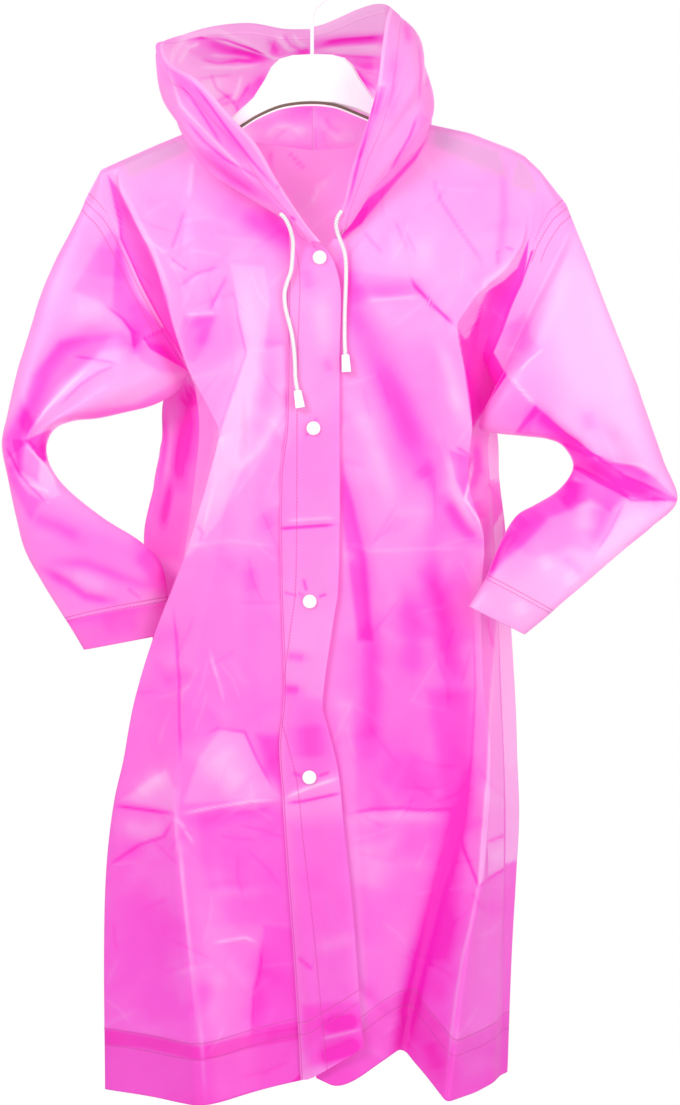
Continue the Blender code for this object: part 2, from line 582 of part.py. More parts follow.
def add_tube(name, points, width, finish, resolution=2, step=3.0):
    """A round wire or cord along a smooth curve through its points, in millimetres."""
    length = sum((points[index + 1] - points[index]).length for index in range(len(points) - 1))
    count = max(8, int(length / (width * step)))
    curve = bpy.data.curves.new(name, "CURVE")
    curve.dimensions = "3D"
    curve.bevel_depth = width / 2 * MM
    curve.bevel_resolution = resolution
    curve.use_fill_caps = True
    curve.render_resolution_u = 0
    line = curve.splines.new("POLY")
    line.points.add(count)
    for index in range(count + 1):
        point = spline(points, (len(points) - 1) * index / count) * MM
        line.points[index].co = (*point, 1)
    curve.materials.append(finish)
    piece = bpy.data.objects.new(name, curve)
    bpy.context.collection.objects.link(piece)
    return piece


def add_hook(finish):
    """The wire hook: a straight stem from the hanger's neck, then a bend over the rail."""
    bend = HOOK_BEND + WIRE
    stem_foot = -(NECK_TOP + HOOK_RISE) + HOOK_SEAT
    stem = HOOK_RISE + STEM_PAST_NECK
    points = [Vector((0, 0, stem_foot + stem * part / STEM_PARTS)) for part in range(STEM_PARTS + 1)]
    for degrees in range(*HOOK_TURN):
        turn = math.radians(degrees)
        points.append(Vector((bend * math.cos(turn), 0, -HOOK_BEND + bend * math.sin(turn))))
    return add_tube("hanger_hook", points, 2 * WIRE, finish, resolution=2, step=1.6)


def turned(name, profile, sides, axis_place, finish, lean=0.0, upright=True):
    """A round piece turned from (radius, height) points about its own axis."""
    work = bmesh.new()
    rings = []
    for radius, height in profile:
        ring = []
        for side in range(sides):
            turn = 2 * math.pi * side / sides
            across, over = radius * math.cos(turn), radius * math.sin(turn)
            point = Vector((across, over, height)) if upright else Vector((across, -height, over))
            if lean:
                point = Vector((point.x * math.cos(lean) + point.z * math.sin(lean), point.y,
                                point.z * math.cos(lean) - point.x * math.sin(lean)))
            ring.append(work.verts.new((point + axis_place) * MM))
        rings.append(ring)
    for lower, upper in zip(rings, rings[1:]):
        for side in range(sides):
            after = (side + 1) % sides
            work.faces.new((lower[side], lower[after], upper[after], upper[side]))
    work.faces.new(rings[0])
    work.faces.new(rings[-1])
    bmesh.ops.recalc_face_normals(work, faces=work.faces)
    mesh = bpy.data.meshes.new(name)
    work.to_mesh(mesh)
    work.free()
    mesh.materials.append(finish)
    mesh.shade_smooth()
    piece = bpy.data.objects.new(name, mesh)
    bpy.context.collection.objects.link(piece)
    return piece


def placket_grid():
    """The placket: a run that lies on the right front's edge, then its own free part."""
    grid = []
    for row in range(BAND_ROWS):
        fraction = row / (BAND_ROWS - 1)
        line = []
        for stop in PLACKET_LAP:
            under = panel_point(RIGHT_FRONT, stop, PLACKET_TOP + (1 - PLACKET_TOP) * fraction)
            line.append(under - Vector((0, PLACKET_LIFT, 0)))
        line += [panel_point(PLACKET, stop, fraction) for stop in PLACKET_STOPS]
        grid.append(line)
    return grid


def placket_front(across, down):
    """How far forward the placket's middle surface reaches under a snap."""
    grid = placket_grid()
    seen = place(across, down, 0)
    reach = SNAP_WIDTH / 2
    depths = []
    for upper, lower in zip(grid, grid[1:]):
        for share in range(SEARCH_STEPS + 1):
            line = [a.lerp(b, share / SEARCH_STEPS) for a, b in zip(upper, lower)]
            for left, right in zip(line, line[1:]):
                for part in range(SEARCH_STEPS + 1):
                    point = left.lerp(right, part / SEARCH_STEPS)
                    if math.hypot(point.x - seen.x, point.z - seen.z) < reach:
                        depths.append(point.y)
    return min(depths)


def add_snap(index, across, down, finish):
    """One domed snap cap, seated on the placket."""
    seat = placket_front(across, down) - WALL / 2 - SNAP_SEAT
    radius = SNAP_WIDTH / 2
    profile = ((radius - 1, 0), (radius, 0.6), (radius, 1.4), (radius - 1.2, 2.5),
               (radius - 3.2, SNAP_HEIGHT), (1.6, SNAP_HEIGHT - 0.4))
    return turned(f"snap_{index}", profile, SNAP_SIDES, place(across, down, seat), finish,
                  upright=False)


def add_cord(name, route, finish):
    """One free end of the drawcord and its moulded tip."""
    points = [place(*point) for point in route]
    add_tube(name, points, CORD, finish, resolution=2)
    heading = points[-1] - points[-2]
    lean = math.atan2(-heading.x, -heading.z)
    profile = ((TIP_WIDTH / 2 - 1.2, 0), (TIP_WIDTH / 2, 1.5), (TIP_WIDTH / 2, TIP_LENGTH - 3),
               (TIP_WIDTH / 2 - 1.5, TIP_LENGTH - 0.8), (TIP_WIDTH / 2 - 2.5, TIP_LENGTH))
    hang = Vector((math.sin(lean), 0, math.cos(lean)))
    foot = points[-1] - hang * (TIP_LENGTH + TIP_CLEAR)
    turned(name.replace("cord", "cord_tip"), profile, TIP_SIDES, foot, finish, lean=lean)


def add_coat():
    """Every piece of the coat."""
    pink = film("pink film", (0.98, 0.16, 0.72))
    deep = film("doubled pink film", (0.96, 0.12, 0.66))
    white = film("white moulded plastic", (0.92, 0.92, 0.92), 0.4)
    cotton = film("white cord", (0.93, 0.92, 0.9), 0.8)
    wall("front_right", panel_grid(RIGHT_FRONT, RIGHT_STOPS, BODY_ROWS), pink)
    wall("front_left", panel_grid(LEFT_FRONT, LEFT_STOPS, BODY_ROWS), pink)
    wall("back", panel_grid(BACK, BACK_STOPS, BACK_ROWS), pink)
    wall("placket", placket_grid(), deep)
    add_sleeve("sleeve_right", RIGHT_FRONT, BACK[0], UNDERARM[0], RIGHT_SLEEVE, pink)
    add_sleeve("sleeve_left", LEFT_FRONT, BACK[-1], UNDERARM[1], LEFT_SLEEVE, pink)
    add_hood("hood_right", RIGHT_HOOD, RIGHT_HOOD_FOLDS, 1, pink)
    add_hood("hood_left", LEFT_HOOD, LEFT_HOOD_FOLDS, -1, pink)
    for index, (across, down) in enumerate(SNAPS, 1):
        add_snap(index, across, down, white)
    add_cord("cord_right", RIGHT_CORD, cotton)
    add_cord("cord_left", LEFT_CORD, cotton)


def add_hanging():
    """The hanger and its hook."""
    white = film("white hanger plastic", (0.9, 0.9, 0.89), 0.35)
    wire = film("white coated wire", (0.88, 0.88, 0.88), 0.3)
    add_hanger(white)
    add_hook(wire)


for old in list(bpy.data.objects):
    bpy.data.objects.remove(old, do_unlink=True)
add_coat()
add_hanging()
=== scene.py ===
# A hooded raincoat of thin pink EVA film on a white hanger, seen from the front.
# Places are (across, down, depth) in mm: across from the right elbow's tip, down from the
# level of the hood's crown, depth from the hanger's plane to the back. Right and left are
# the wearer's.
import math

import bmesh
import bpy
import numpy as np
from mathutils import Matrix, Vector


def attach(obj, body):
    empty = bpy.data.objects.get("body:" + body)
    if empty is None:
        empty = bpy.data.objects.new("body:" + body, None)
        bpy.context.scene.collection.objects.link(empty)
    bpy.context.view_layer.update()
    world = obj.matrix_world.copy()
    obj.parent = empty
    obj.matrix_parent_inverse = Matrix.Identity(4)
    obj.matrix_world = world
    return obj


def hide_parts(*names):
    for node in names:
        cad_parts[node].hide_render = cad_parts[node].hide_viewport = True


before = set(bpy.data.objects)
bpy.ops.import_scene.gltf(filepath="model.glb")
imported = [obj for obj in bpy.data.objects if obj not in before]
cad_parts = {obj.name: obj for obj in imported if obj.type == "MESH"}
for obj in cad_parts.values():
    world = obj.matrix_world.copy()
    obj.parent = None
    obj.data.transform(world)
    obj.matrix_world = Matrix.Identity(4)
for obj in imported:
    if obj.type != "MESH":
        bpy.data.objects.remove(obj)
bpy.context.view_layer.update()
mm = 0.001
hookPlace = (312.0, -40.0)  # where the hook hangs, across and down: the row's origin
depthWay = np.array([0.0, 0.0, 1.0])
far, tiny = 1e9, 1e-9
weld = 1e-6  # m: vertices nearer than this are one
noSeam = 200.0  # mm: a place that no seam's line reaches
foldBulge = 0.35  # how far a hem's fold hangs below the cloth, in its gap
foldLook = {"reach": 0.48, "crispTop": 0.12, "crispGrows": 8,  # how round the fold lines are
            "measuredAt": (0.1, 1, 12)}
creaseLook = {
    "crispReach": 6, "softReach": 2.6,  # how far a crease works, in its widths
    "fadeOver": 0.25, "atEnds": 0.12,  # it grows over this share of its length, from this much
    "softEnds": 0.35,  # a soft one keeps this much at its ends
    "crest": 0.6, "lapStep": 1.2,  # mm2 and mm: how blunt the crisp ones are
    "line": 1.5, "onLine": 1.15, "besideLine": 0.35,  # a sharp one's painted colour, shade in a trough, highlight on a ridge: its line and beside
}
strayLook = {"shortest": 0.5, "bow": 0.16, "flattest": 0.4, "sharpShare": 0.55,
             "sharp": (2.2, 4.5), "soft": (5, 11), "tone": -0.1}
print("coat: frame loaded")


def toMetres(places):
    places = np.asarray(places, dtype=float)
    return np.stack([places[..., 0] - hookPlace[0], places[..., 2],
                     hookPlace[1] - places[..., 1]], axis=-1) * mm


def foldLines(*lines):  # each is a name, its softness and its rows of down, across, depth
    return [(name, softness, np.reshape(flat, (-1, 3)).tolist()) for name, softness, *flat in lines]


def smooth(value):  # 0 to 1 with level ends
    value = np.clip(value, 0.0, 1.0)
    return value * value * (3 - 2 * value)


def readFold(rows, levels):  # a fold line's (down, across, depth) rows, read at many levels
    rows = np.array(rows, dtype=float)
    last = len(rows) - 1
    before = np.maximum(np.arange(last + 1) - 1, 0)
    after = np.minimum(np.arange(last + 1) + 1, last)
    slope = (rows[after, 1:] - rows[before, 1:]) / (rows[after, :1] - rows[before, :1])
    run = np.clip(np.searchsorted(rows[:, 0], levels, side="left") - 1, 0, last - 1)
    span = (rows[run + 1, 0] - rows[run, 0])[:, None]
    t = np.clip((levels[:, None] - rows[run, :1]) / span, 0.0, 1.0)
    a, b = slope[run] * span, slope[run + 1] * span
    p, q = rows[run, 1:], rows[run + 1, 1:]
    bend = (2 * p - 2 * q + a + b) * t ** 3 + (3 * q - 3 * p - 2 * a - b) * t ** 2 + a * t + p
    return np.stack([bend[:, 0], levels, bend[:, 1]], axis=-1)


def readRows(rows, fractions):  # the same, from the fold line's top to its foot
    return readFold(rows, rows[0][0] + (rows[-1][0] - rows[0][0]) * np.asarray(fractions))


def throughPoints(points, where):  # a smooth curve through points, read at many places
    points = np.asarray(points, dtype=float)
    last = len(points) - 1
    run = np.clip(where.astype(int), 0, last - 1)
    shape = (-1,) + (1,) * (points.ndim - 1)
    t = (where - run).reshape(shape)
    b, c = points[run], points[run + 1]
    a = np.where((run > 0).reshape(shape), points[np.maximum(run - 1, 0)], 2 * b - c)
    d = np.where((run + 2 <= last).reshape(shape), points[np.minimum(run + 2, last)], 2 * c - b)
    return (2 * b + (c - a) * t + (2 * a - 5 * b + 4 * c - d) * t ** 2
            + (3 * b - a - 3 * c + d) * t ** 3) * 0.5


def spacedStops(folds, step):  # evenly spaced columns, a whole number on each fold line
    lines = [readRows(rows, np.linspace(*foldLook["measuredAt"])) for name, softness, rows in folds]
    wide = [np.linalg.norm(end - start, axis=1).mean() for start, end in zip(lines, lines[1:])]
    edges = np.concatenate([[0], np.cumsum(wide)])
    count = int(sum(wide) / step)
    return np.interp(np.linspace(0, edges[-1], count), edges, np.arange(len(edges)))


def panelGrid(folds, stops, fractions):
    # straight runs between fold lines, each fold rounded by its softness, crisp at the top
    lines = np.array([readRows(rows, fractions) for name, softness, rows in folds])
    crisp = np.minimum(1.0, foldLook["crispTop"] + foldLook["crispGrows"] * fractions)
    last = len(folds) - 1
    grid = np.zeros((len(fractions), len(stops), 3))
    for column, stop in enumerate(stops):
        run = min(int(stop), last - 1)
        line = lines[run] + (lines[run + 1] - lines[run]) * (stop - run)
        near = int(round(stop))
        if 0 < near < last:
            before, fold, after = lines[near - 1], lines[near], lines[near + 1]
            shortest = np.minimum(np.linalg.norm(before - fold, axis=1),
                                  np.linalg.norm(after - fold, axis=1))
            reach = np.minimum(foldLook["reach"],
                               folds[near][1] * crisp / np.maximum(shortest, 0.001))[:, None]
            t = np.clip((stop - near + reach) / (2 * reach), 0, 1)
            start, end = fold + (before - fold) * reach, fold + (after - fold) * reach
            rounded = start * (1 - t) ** 2 + fold * 2 * t * (1 - t) + end * t ** 2
            line = np.where(abs(stop - near) < reach, rounded, line)
        grid[:, column] = line
    return grid


def squareTo(grid, facing, closed=False):  # the direction square to the cloth, outwards
    if closed:
        wide = np.roll(grid, -1, axis=1) - np.roll(grid, 1, axis=1)
    else:
        wide = np.gradient(grid, axis=1)
    long = np.gradient(grid, axis=0)
    square = np.cross(wide, long)
    square /= np.maximum(np.linalg.norm(square, axis=2, keepdims=True), tiny)
    return square * facing


def turnedShare(towards, start):  # 1 where the cloth is turned that way, 0 where it isn't
    return smooth(towards * 3 - start)


def tubeGrid(path, radius, sides, over=None):  # rings of points round a path
    ahead = np.gradient(path, axis=0)
    ahead /= np.linalg.norm(ahead, axis=1, keepdims=True)
    aside = np.cross(ahead, depthWay)
    aside /= np.linalg.norm(aside, axis=1, keepdims=True)
    over = np.cross(ahead, aside) if over is None else np.broadcast_to(over, path.shape)
    turns = np.linspace(0, 2 * math.pi, sides, endpoint=False)[None, :, None]
    ring = aside[:, None] * np.cos(turns) + over[:, None] * np.sin(turns)
    return path[:, None] + ring * radius[:, None, None]


def insideOutline(places, outline, softness):
    # 1 well inside a closed outline, 0 well outside, its edge softened over some mm
    outline = np.array(outline, dtype=float)
    gap = np.full(len(places), far)
    inside = np.zeros(len(places), dtype=bool)
    for start, end in zip(outline, np.roll(outline, -1, axis=0)):
        way = end - start
        off = places - start
        t = np.clip(off @ way / (way @ way), 0, 1)
        gap = np.minimum(gap, np.linalg.norm(off - t[:, None] * way, axis=1))
        meets = start[0] + off[:, 1] * way[0] / (way[1] if way[1] else tiny)
        between = (start[1] > places[:, 1]) != (end[1] > places[:, 1])
        inside ^= between & (places[:, 0] < meets)
    return smooth(np.where(inside, gap, -gap) / softness + 0.5)


def drawCreases(grid, creases, strength):
    # each crease is kind, height, width, tone, then its line of across, down from the front;
    # its tone is painted: deeper as painted shade in troughs and folds, paler as painted highlight
    # on ridges
    # soft: a rounded trough or ridge; sharp: a crisp one; lap: one side stands out; shade: painted
    # tone along a line; facet: painted tone inside a closed outline, its edge as soft as its width
    look = creaseLook
    rise = np.zeros(grid.shape[:2])
    tone = np.zeros(grid.shape[:2])
    for kind, height, width, shade, *line in creases:
        line = np.reshape(line, (-1, 2)).astype(float)
        sizes = np.linalg.norm(np.diff(line, axis=0), axis=1)
        total = sizes.sum()
        reach = look["crispReach" if kind in ("sharp", "lap") else "softReach"] * width
        low, high = line.min(axis=0) - reach, line.max(axis=0) + reach
        box = ((grid[..., 0] > low[0]) & (grid[..., 0] < high[0]) & (grid[..., 1] > low[1])
               & (grid[..., 1] < high[1]) & (strength > 0))
        if not box.any():
            continue
        places = grid[box][:, :2]
        if kind == "facet":
            shape = insideOutline(places, line, width)
            rise[box] += height * shape * strength[box]
            tone[box] += shade * shape * strength[box]
            continue
        nearest = np.full(len(places), far)
        travelled = np.zeros(len(places))
        side = np.ones(len(places))
        done = 0.0
        for start, end, size in zip(line, line[1:], sizes):
            way = (end - start) / size
            off = places - start
            t = np.clip(off @ way, 0, size)
            gap = np.linalg.norm(off - t[:, None] * way, axis=1)
            nearer = gap < nearest
            nearest = np.where(nearer, gap, nearest)
            travelled = np.where(nearer, (done + t) / total, travelled)
            side = np.where(nearer, np.sign(off[:, 0] * way[1] - off[:, 1] * way[0]), side)
            done += size
        fade = smooth(np.minimum(travelled, 1 - travelled) / look["fadeOver"] + look["atEnds"])
        if kind in ("soft", "shade"):
            shape = np.exp(-(nearest / width) ** 2)
            fade = look["softEnds"] + (1 - look["softEnds"]) * fade
        elif kind == "sharp":
            shape = np.exp(-np.sqrt(nearest ** 2 + look["crest"]) / width)
        else:
            shape = side * np.exp(-nearest / width) * smooth(nearest / look["lapStep"])
        fade = fade * strength[box]
        rise[box] += height * shape * fade * (kind != "shade")
        if kind == "sharp":  # its painted tone keeps to a thin line
            thin = np.exp(-(nearest / look["line"]) ** 2)
            shape = look["besideLine"] * shape + look["onLine"] * thin
        tone[box] += shade * np.abs(shape) * fade
    return rise, tone


def strayCreases(seed, count, low, high, length, height):
    # faint short creases left by the packing, in no order but the same at each run, each
    # painted a little paler on a ridge as its highlight and deeper in a trough as its shade
    look = strayLook
    dice = np.random.default_rng(seed)
    found = []
    for index in range(count):
        middle = dice.uniform(low, high)
        turn = dice.uniform(0, math.pi)
        half = dice.uniform(look["shortest"], 1.0) * length / 2
        bow = dice.uniform(-look["bow"], look["bow"]) * half
        ahead = np.array([math.cos(turn), math.sin(turn)])
        aside = np.array([-ahead[1], ahead[0]])
        line = [middle - ahead * half, middle + aside * bow, middle + ahead * half]
        lift = height * dice.uniform(look["flattest"], 1.0) * dice.choice([-1, 1])
        kind = "sharp" if dice.random() < look["sharpShare"] else "soft"
        width = dice.uniform(*look[kind])
        found.append((kind, lift, width, look["tone"] * np.sign(lift), *np.ravel(line)))
    return tuple(found)


def clothLengths(grid):  # how far each point is along its row and down its column, in mm
    wide = np.linalg.norm(np.diff(grid, axis=1), axis=2)
    long = np.linalg.norm(np.diff(grid, axis=0), axis=2)
    across = np.concatenate([np.zeros((grid.shape[0], 1)), np.cumsum(wide, axis=1)], axis=1)
    down = np.concatenate([np.zeros((1, grid.shape[1])), np.cumsum(long, axis=0)], axis=0)
    return across, down


def carryEdge(grid, target, strength, reach):
    # moves the first column to a seam line, and the cloth beside it by less and less
    across, down = clothLengths(grid)
    share = (1 - smooth(across / reach)) * strength[:, None]
    return grid + (target - grid[:, 0])[:, None] * share[..., None]


def turnedUp(grid, marks, square, height, gap):
    # the hem's turned-up part, inside the cloth, from the last row back up
    across, down = clothLengths(grid)
    rise = (down[-1] - down).mean(axis=1)
    rows = [row for row in range(len(grid) - 1, -1, -1) if rise[row] <= height]
    inside = grid[rows] - square[rows] * gap
    below = grid[-1:] - square[-1:] * gap / 2 + np.array([0, gap * foldBulge, 0])
    taken = [len(grid) - 1] + rows
    grid = np.concatenate([grid, below, inside])
    marks = {label: np.concatenate([values, values[taken]]) for label, values in marks.items()}
    return grid, marks


def addCloth(name, grid, marks, finish, facing, closed=False):
    # one piece of cloth: a bmesh grid laid on its places, with a map in real metres
    across, down = clothLengths(grid)
    if closed:
        around = np.linalg.norm(grid[:, :1] - grid[:, -1:], axis=2)
        across = np.concatenate([across, across[:, -1:] + around], axis=1)
        down = np.concatenate([down, down[:, :1]], axis=1)
        grid = np.concatenate([grid, grid[:, :1]], axis=1)
        marks = {label: np.concatenate([values, values[:, :1]], axis=1)
                 for label, values in marks.items()}
    rows, columns = grid.shape[:2]
    work = bmesh.new()
    work.loops.layers.uv.new("cloth")
    bmesh.ops.create_grid(work, x_segments=columns - 1, y_segments=rows - 1, size=1, calc_uvs=True)
    mesh = bpy.data.meshes.new(name)
    work.to_mesh(mesh)
    flat = np.empty(len(mesh.vertices) * 3)
    mesh.vertices.foreach_get("co", flat)
    flat = flat.reshape(-1, 3)
    column = np.rint((flat[:, 0] + 1) / 2 * (columns - 1)).astype(int)
    row = np.rint((1 - flat[:, 1]) / 2 * (rows - 1)).astype(int)
    mesh.vertices.foreach_set("co", toMetres(grid[row, column]).ravel())
    corner = np.empty(len(mesh.loops), dtype=int)
    mesh.loops.foreach_get("vertex_index", corner)
    spread = np.stack([across[row, column], down[row, column]], axis=1)[corner] * mm
    mesh.uv_layers["cloth"].data.foreach_set("uv", spread.ravel())
    for label, values in marks.items():
        layer = mesh.attributes.new(label, "FLOAT", "POINT")
        layer.data.foreach_set("value", values[row, column].astype(np.float32))
    work.clear()
    work.from_mesh(mesh)
    bmesh.ops.remove_doubles(work, verts=work.verts, dist=weld)
    if facing > 0:
        bmesh.ops.reverse_faces(work, faces=work.faces)
    work.to_mesh(mesh)
    work.free()
    return addPiece(name, mesh, finish)


def addPiece(name, mesh, finish):
    mesh.materials.append(finish)
    mesh.shade_smooth()
    piece = bpy.data.objects.new(name, mesh)
    bpy.context.scene.collection.objects.link(piece)
    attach(piece, "root")
    return piece


def meshFrom(work, name):
    mesh = bpy.data.meshes.new(name)
    work.to_mesh(mesh)
    work.free()
    return mesh


def fromHex(code):  # an sRGB hex colour as linear numbers
    parts = [int(code[k:k + 2], 16) / 255 for k in (0, 2, 4)]
    return tuple(p / 12.92 if p <= 0.04045 else ((p + 0.055) / 1.055) ** 2.4 for p in parts) + (1,)


def addNode(tree, kind, inputs=(), **settings):
    node = tree.nodes.new("ShaderNode" + kind)
    for key, value in settings.items():
        setattr(node, key, value)
    for key, value in dict(inputs).items():
        if isinstance(value, bpy.types.NodeSocket):
            tree.links.new(value, node.inputs[key])
        else:
            node.inputs[key].default_value = value
    return node


def darker(colour, share):
    return tuple(part * share for part in colour[:3]) + (1,)


def newFinish(name):
    finish = bpy.data.materials.new(name)
    finish.use_nodes = True
    finish.node_tree.nodes.clear()
    return finish, finish.node_tree


filmLook = {
    # the tone mark's colours: palest for painted highlights, deepest for painted shade
    "tones": ((0.08, "ffccf4"), (0.42, "fd9fe9"), (0.76, "ff60dc"), (1.0, "ff2acb")),
    "cloud": 14.0, "cloudTone": 0.1,
    "lower": "ecf0fb", "lowerTop": -0.55, "lowerFoot": -1.0, "lowerShare": 0.6,  # painted shade: the skirt duller and darker towards the hem
    "hangerShadow": "d9b0d6", "hangerShadowShare": 0.6,  # the white hanger's arms seen through the film, painted grey-lilac as the shadow they make in it
    "roughness": 0.36, "ior": 1.48,
    "crinkle": 9.0, "crinkleHeight": 0.25,  # mm: the film's fine unevenness
    "seam": "d648ae", "seamWidth": 1.1, "seamDepth": 0.3,  # mm
    "stitch": 3.4, "gapFrom": 0.68, "gapTo": 0.8,  # mm, and where in a stitch its gap begins
    "gapShown": 0.25,  # how much of the seam's line still shows in a gap
}


def makeFilm(name, seams, deeper=0.0, through=0.34):  # through: the light let past
    # EVA film, cast and embossed matt on a chill roll: soft sheen, light comes through, and its
    # painted tone gives it painted highlights, paler along ridges, and painted shade, deeper in
    # colour where it is folded; it is deeper too where it is doubled.
    # seams: (mark, mm from that edge, stitched, strength) for each line sewn or welded into it.
    finish, tree = newFinish(name)
    look = filmLook
    place = addNode(tree, "TexCoord")
    tone = addNode(tree, "Attribute", attribute_name="tone")
    cloud = addNode(tree, "TexNoise", {"Vector": place.outputs["Object"], "Scale": look["cloud"],
                                       "Detail": 3.0, "Roughness": 0.55})
    shift = addNode(tree, "MapRange", {"Value": cloud.outputs["Fac"], "From Min": 0.3,
                                       "From Max": 0.7, "To Min": deeper - look["cloudTone"],
                                       "To Max": deeper + look["cloudTone"]})
    depth = addNode(tree, "Math", {0: tone.outputs["Fac"], 1: shift.outputs[0]}, operation="ADD")
    onRamp = addNode(tree, "MapRange", {"Value": depth.outputs[0], "From Min": -1.0,
                                        "From Max": 1.0})
    ramp = addNode(tree, "ValToRGB", {"Fac": onRamp.outputs[0]})
    stops = ramp.color_ramp.elements
    palest, *between, deepest = look["tones"]
    for stop, (position, code) in zip(stops, (palest, deepest)):
        stop.position, stop.color = position, fromHex(code)
    for position, code in between:
        stops.new(position).color = fromHex(code)
    height = addNode(tree, "SeparateXYZ", {0: place.outputs["Object"]})
    lower = addNode(tree, "MapRange", {"Value": height.outputs["Z"], "From Min": look["lowerTop"],
                                       "From Max": look["lowerFoot"],
                                       "To Max": look["lowerShare"]})
    colour = addNode(tree, "Mix", {"Factor": lower.outputs[0], 6: ramp.outputs["Color"],
                                   7: fromHex(look["lower"])}, data_type="RGBA",
                     blend_type="MULTIPLY")
    # the hanger's arms under the film, painted grey-lilac as the shadow they make in it
    hangerShadow = addNode(tree, "Attribute", attribute_name="hangerShadow")
    hangerShadowed = addNode(tree, "Math", {0: hangerShadow.outputs["Fac"], 1: look["hangerShadowShare"]},
                     operation="MULTIPLY")
    colour = addNode(tree, "Mix", {"Factor": hangerShadowed.outputs[0], 6: colour.outputs[2],
                                   7: fromHex(look["hangerShadow"])}, data_type="RGBA")
    crinkle = addNode(tree, "TexNoise", {"Vector": place.outputs["Object"],
                                         "Scale": 1000 / look["crinkle"], "Detail": 2.5,
                                         "Roughness": 0.5, "Distortion": 0.6})
    relief = addNode(tree, "Math", {0: crinkle.outputs["Fac"], 1: look["crinkleHeight"]},
                     operation="MULTIPLY")
    spread = addNode(tree, "SeparateXYZ", {0: place.outputs["UV"]})
    for mark, offset, stitched, strength in seams:
        away = addNode(tree, "Attribute", attribute_name=mark)
        off = addNode(tree, "Math", {0: away.outputs["Fac"], 1: float(offset)},
                      operation="SUBTRACT")
        gap = addNode(tree, "Math", {0: off.outputs[0]}, operation="ABSOLUTE")
        line = addNode(tree, "MapRange", {"Value": gap.outputs[0],
                                          "From Min": look["seamWidth"] * 0.25,
                                          "From Max": look["seamWidth"], "To Min": 1.0,
                                          "To Max": 0.0}, interpolation_type="SMOOTHSTEP")
        if stitched:
            run = addNode(tree, "Math", {0: spread.outputs[0 if stitched == "across" else 1],
                                         1: 1000 / look["stitch"]}, operation="MULTIPLY")
            part = addNode(tree, "Math", {0: run.outputs[0]}, operation="FRACT")
            dash = addNode(tree, "MapRange", {"Value": part.outputs[0],
                                              "From Min": look["gapFrom"],
                                              "From Max": look["gapTo"], "To Min": 1.0,
                                              "To Max": look["gapShown"]})
            line = addNode(tree, "Math", {0: line.outputs[0], 1: dash.outputs[0]},
                           operation="MULTIPLY")
        faint = addNode(tree, "Math", {0: line.outputs[0], 1: strength}, operation="MULTIPLY")
        colour = addNode(tree, "Mix", {"Factor": faint.outputs[0], 6: colour.outputs[2],
                                       7: fromHex(look["seam"])}, data_type="RGBA")
        relief = addNode(tree, "Math", {0: line.outputs[0], 1: -look["seamDepth"],
                                        2: relief.outputs[0]}, operation="MULTIPLY_ADD")
    bump = addNode(tree, "Bump", {"Strength": 0.6, "Distance": mm, "Height": relief.outputs[0]})
    film = addNode(tree, "BsdfPrincipled", {"Base Color": colour.outputs[2],
                                            "Roughness": look["roughness"],
                                            "IOR": look["ior"], "Metallic": 0.0,
                                            "Normal": bump.outputs[0]})
    glow = addNode(tree, "BsdfTranslucent", {"Color": colour.outputs[2],
                                             "Normal": bump.outputs[0]})
    both = addNode(tree, "MixShader", {0: through, 1: film.outputs[0], 2: glow.outputs[0]})
    addNode(tree, "OutputMaterial", {"Surface": both.outputs[0]})
    return finish


def makeMoulded(name, colour, roughness, grain, height):
    # injection-moulded plastic, ABS or PP: even and softly glossy, with a faint grain
    finish, tree = newFinish(name)
    place = addNode(tree, "TexCoord")
    grainNoise = addNode(tree, "TexNoise", {"Vector": place.outputs["Object"],
                                            "Scale": 1000 / grain, "Detail": 2.0})
    worn = addNode(tree, "TexNoise", {"Vector": place.outputs["Object"], "Scale": 60.0})
    tint = addNode(tree, "MapRange", {"Value": worn.outputs["Fac"], "From Min": 0.35,
                                      "From Max": 0.7, "To Min": 0.0, "To Max": 0.18})
    base = fromHex(colour)
    colourMix = addNode(tree, "Mix", {"Factor": tint.outputs[0], 6: base, 7: darker(base, 0.8)},
                        data_type="RGBA")
    bump = addNode(tree, "Bump", {"Strength": 0.4, "Distance": height * mm,
                                  "Height": grainNoise.outputs["Fac"]})
    plastic = addNode(tree, "BsdfPrincipled", {"Base Color": colourMix.outputs[2],
                                               "Roughness": roughness, "IOR": 1.5,
                                               "Metallic": 0.0, "Normal": bump.outputs[0]})
    addNode(tree, "OutputMaterial", {"Surface": plastic.outputs[0]})
    return finish


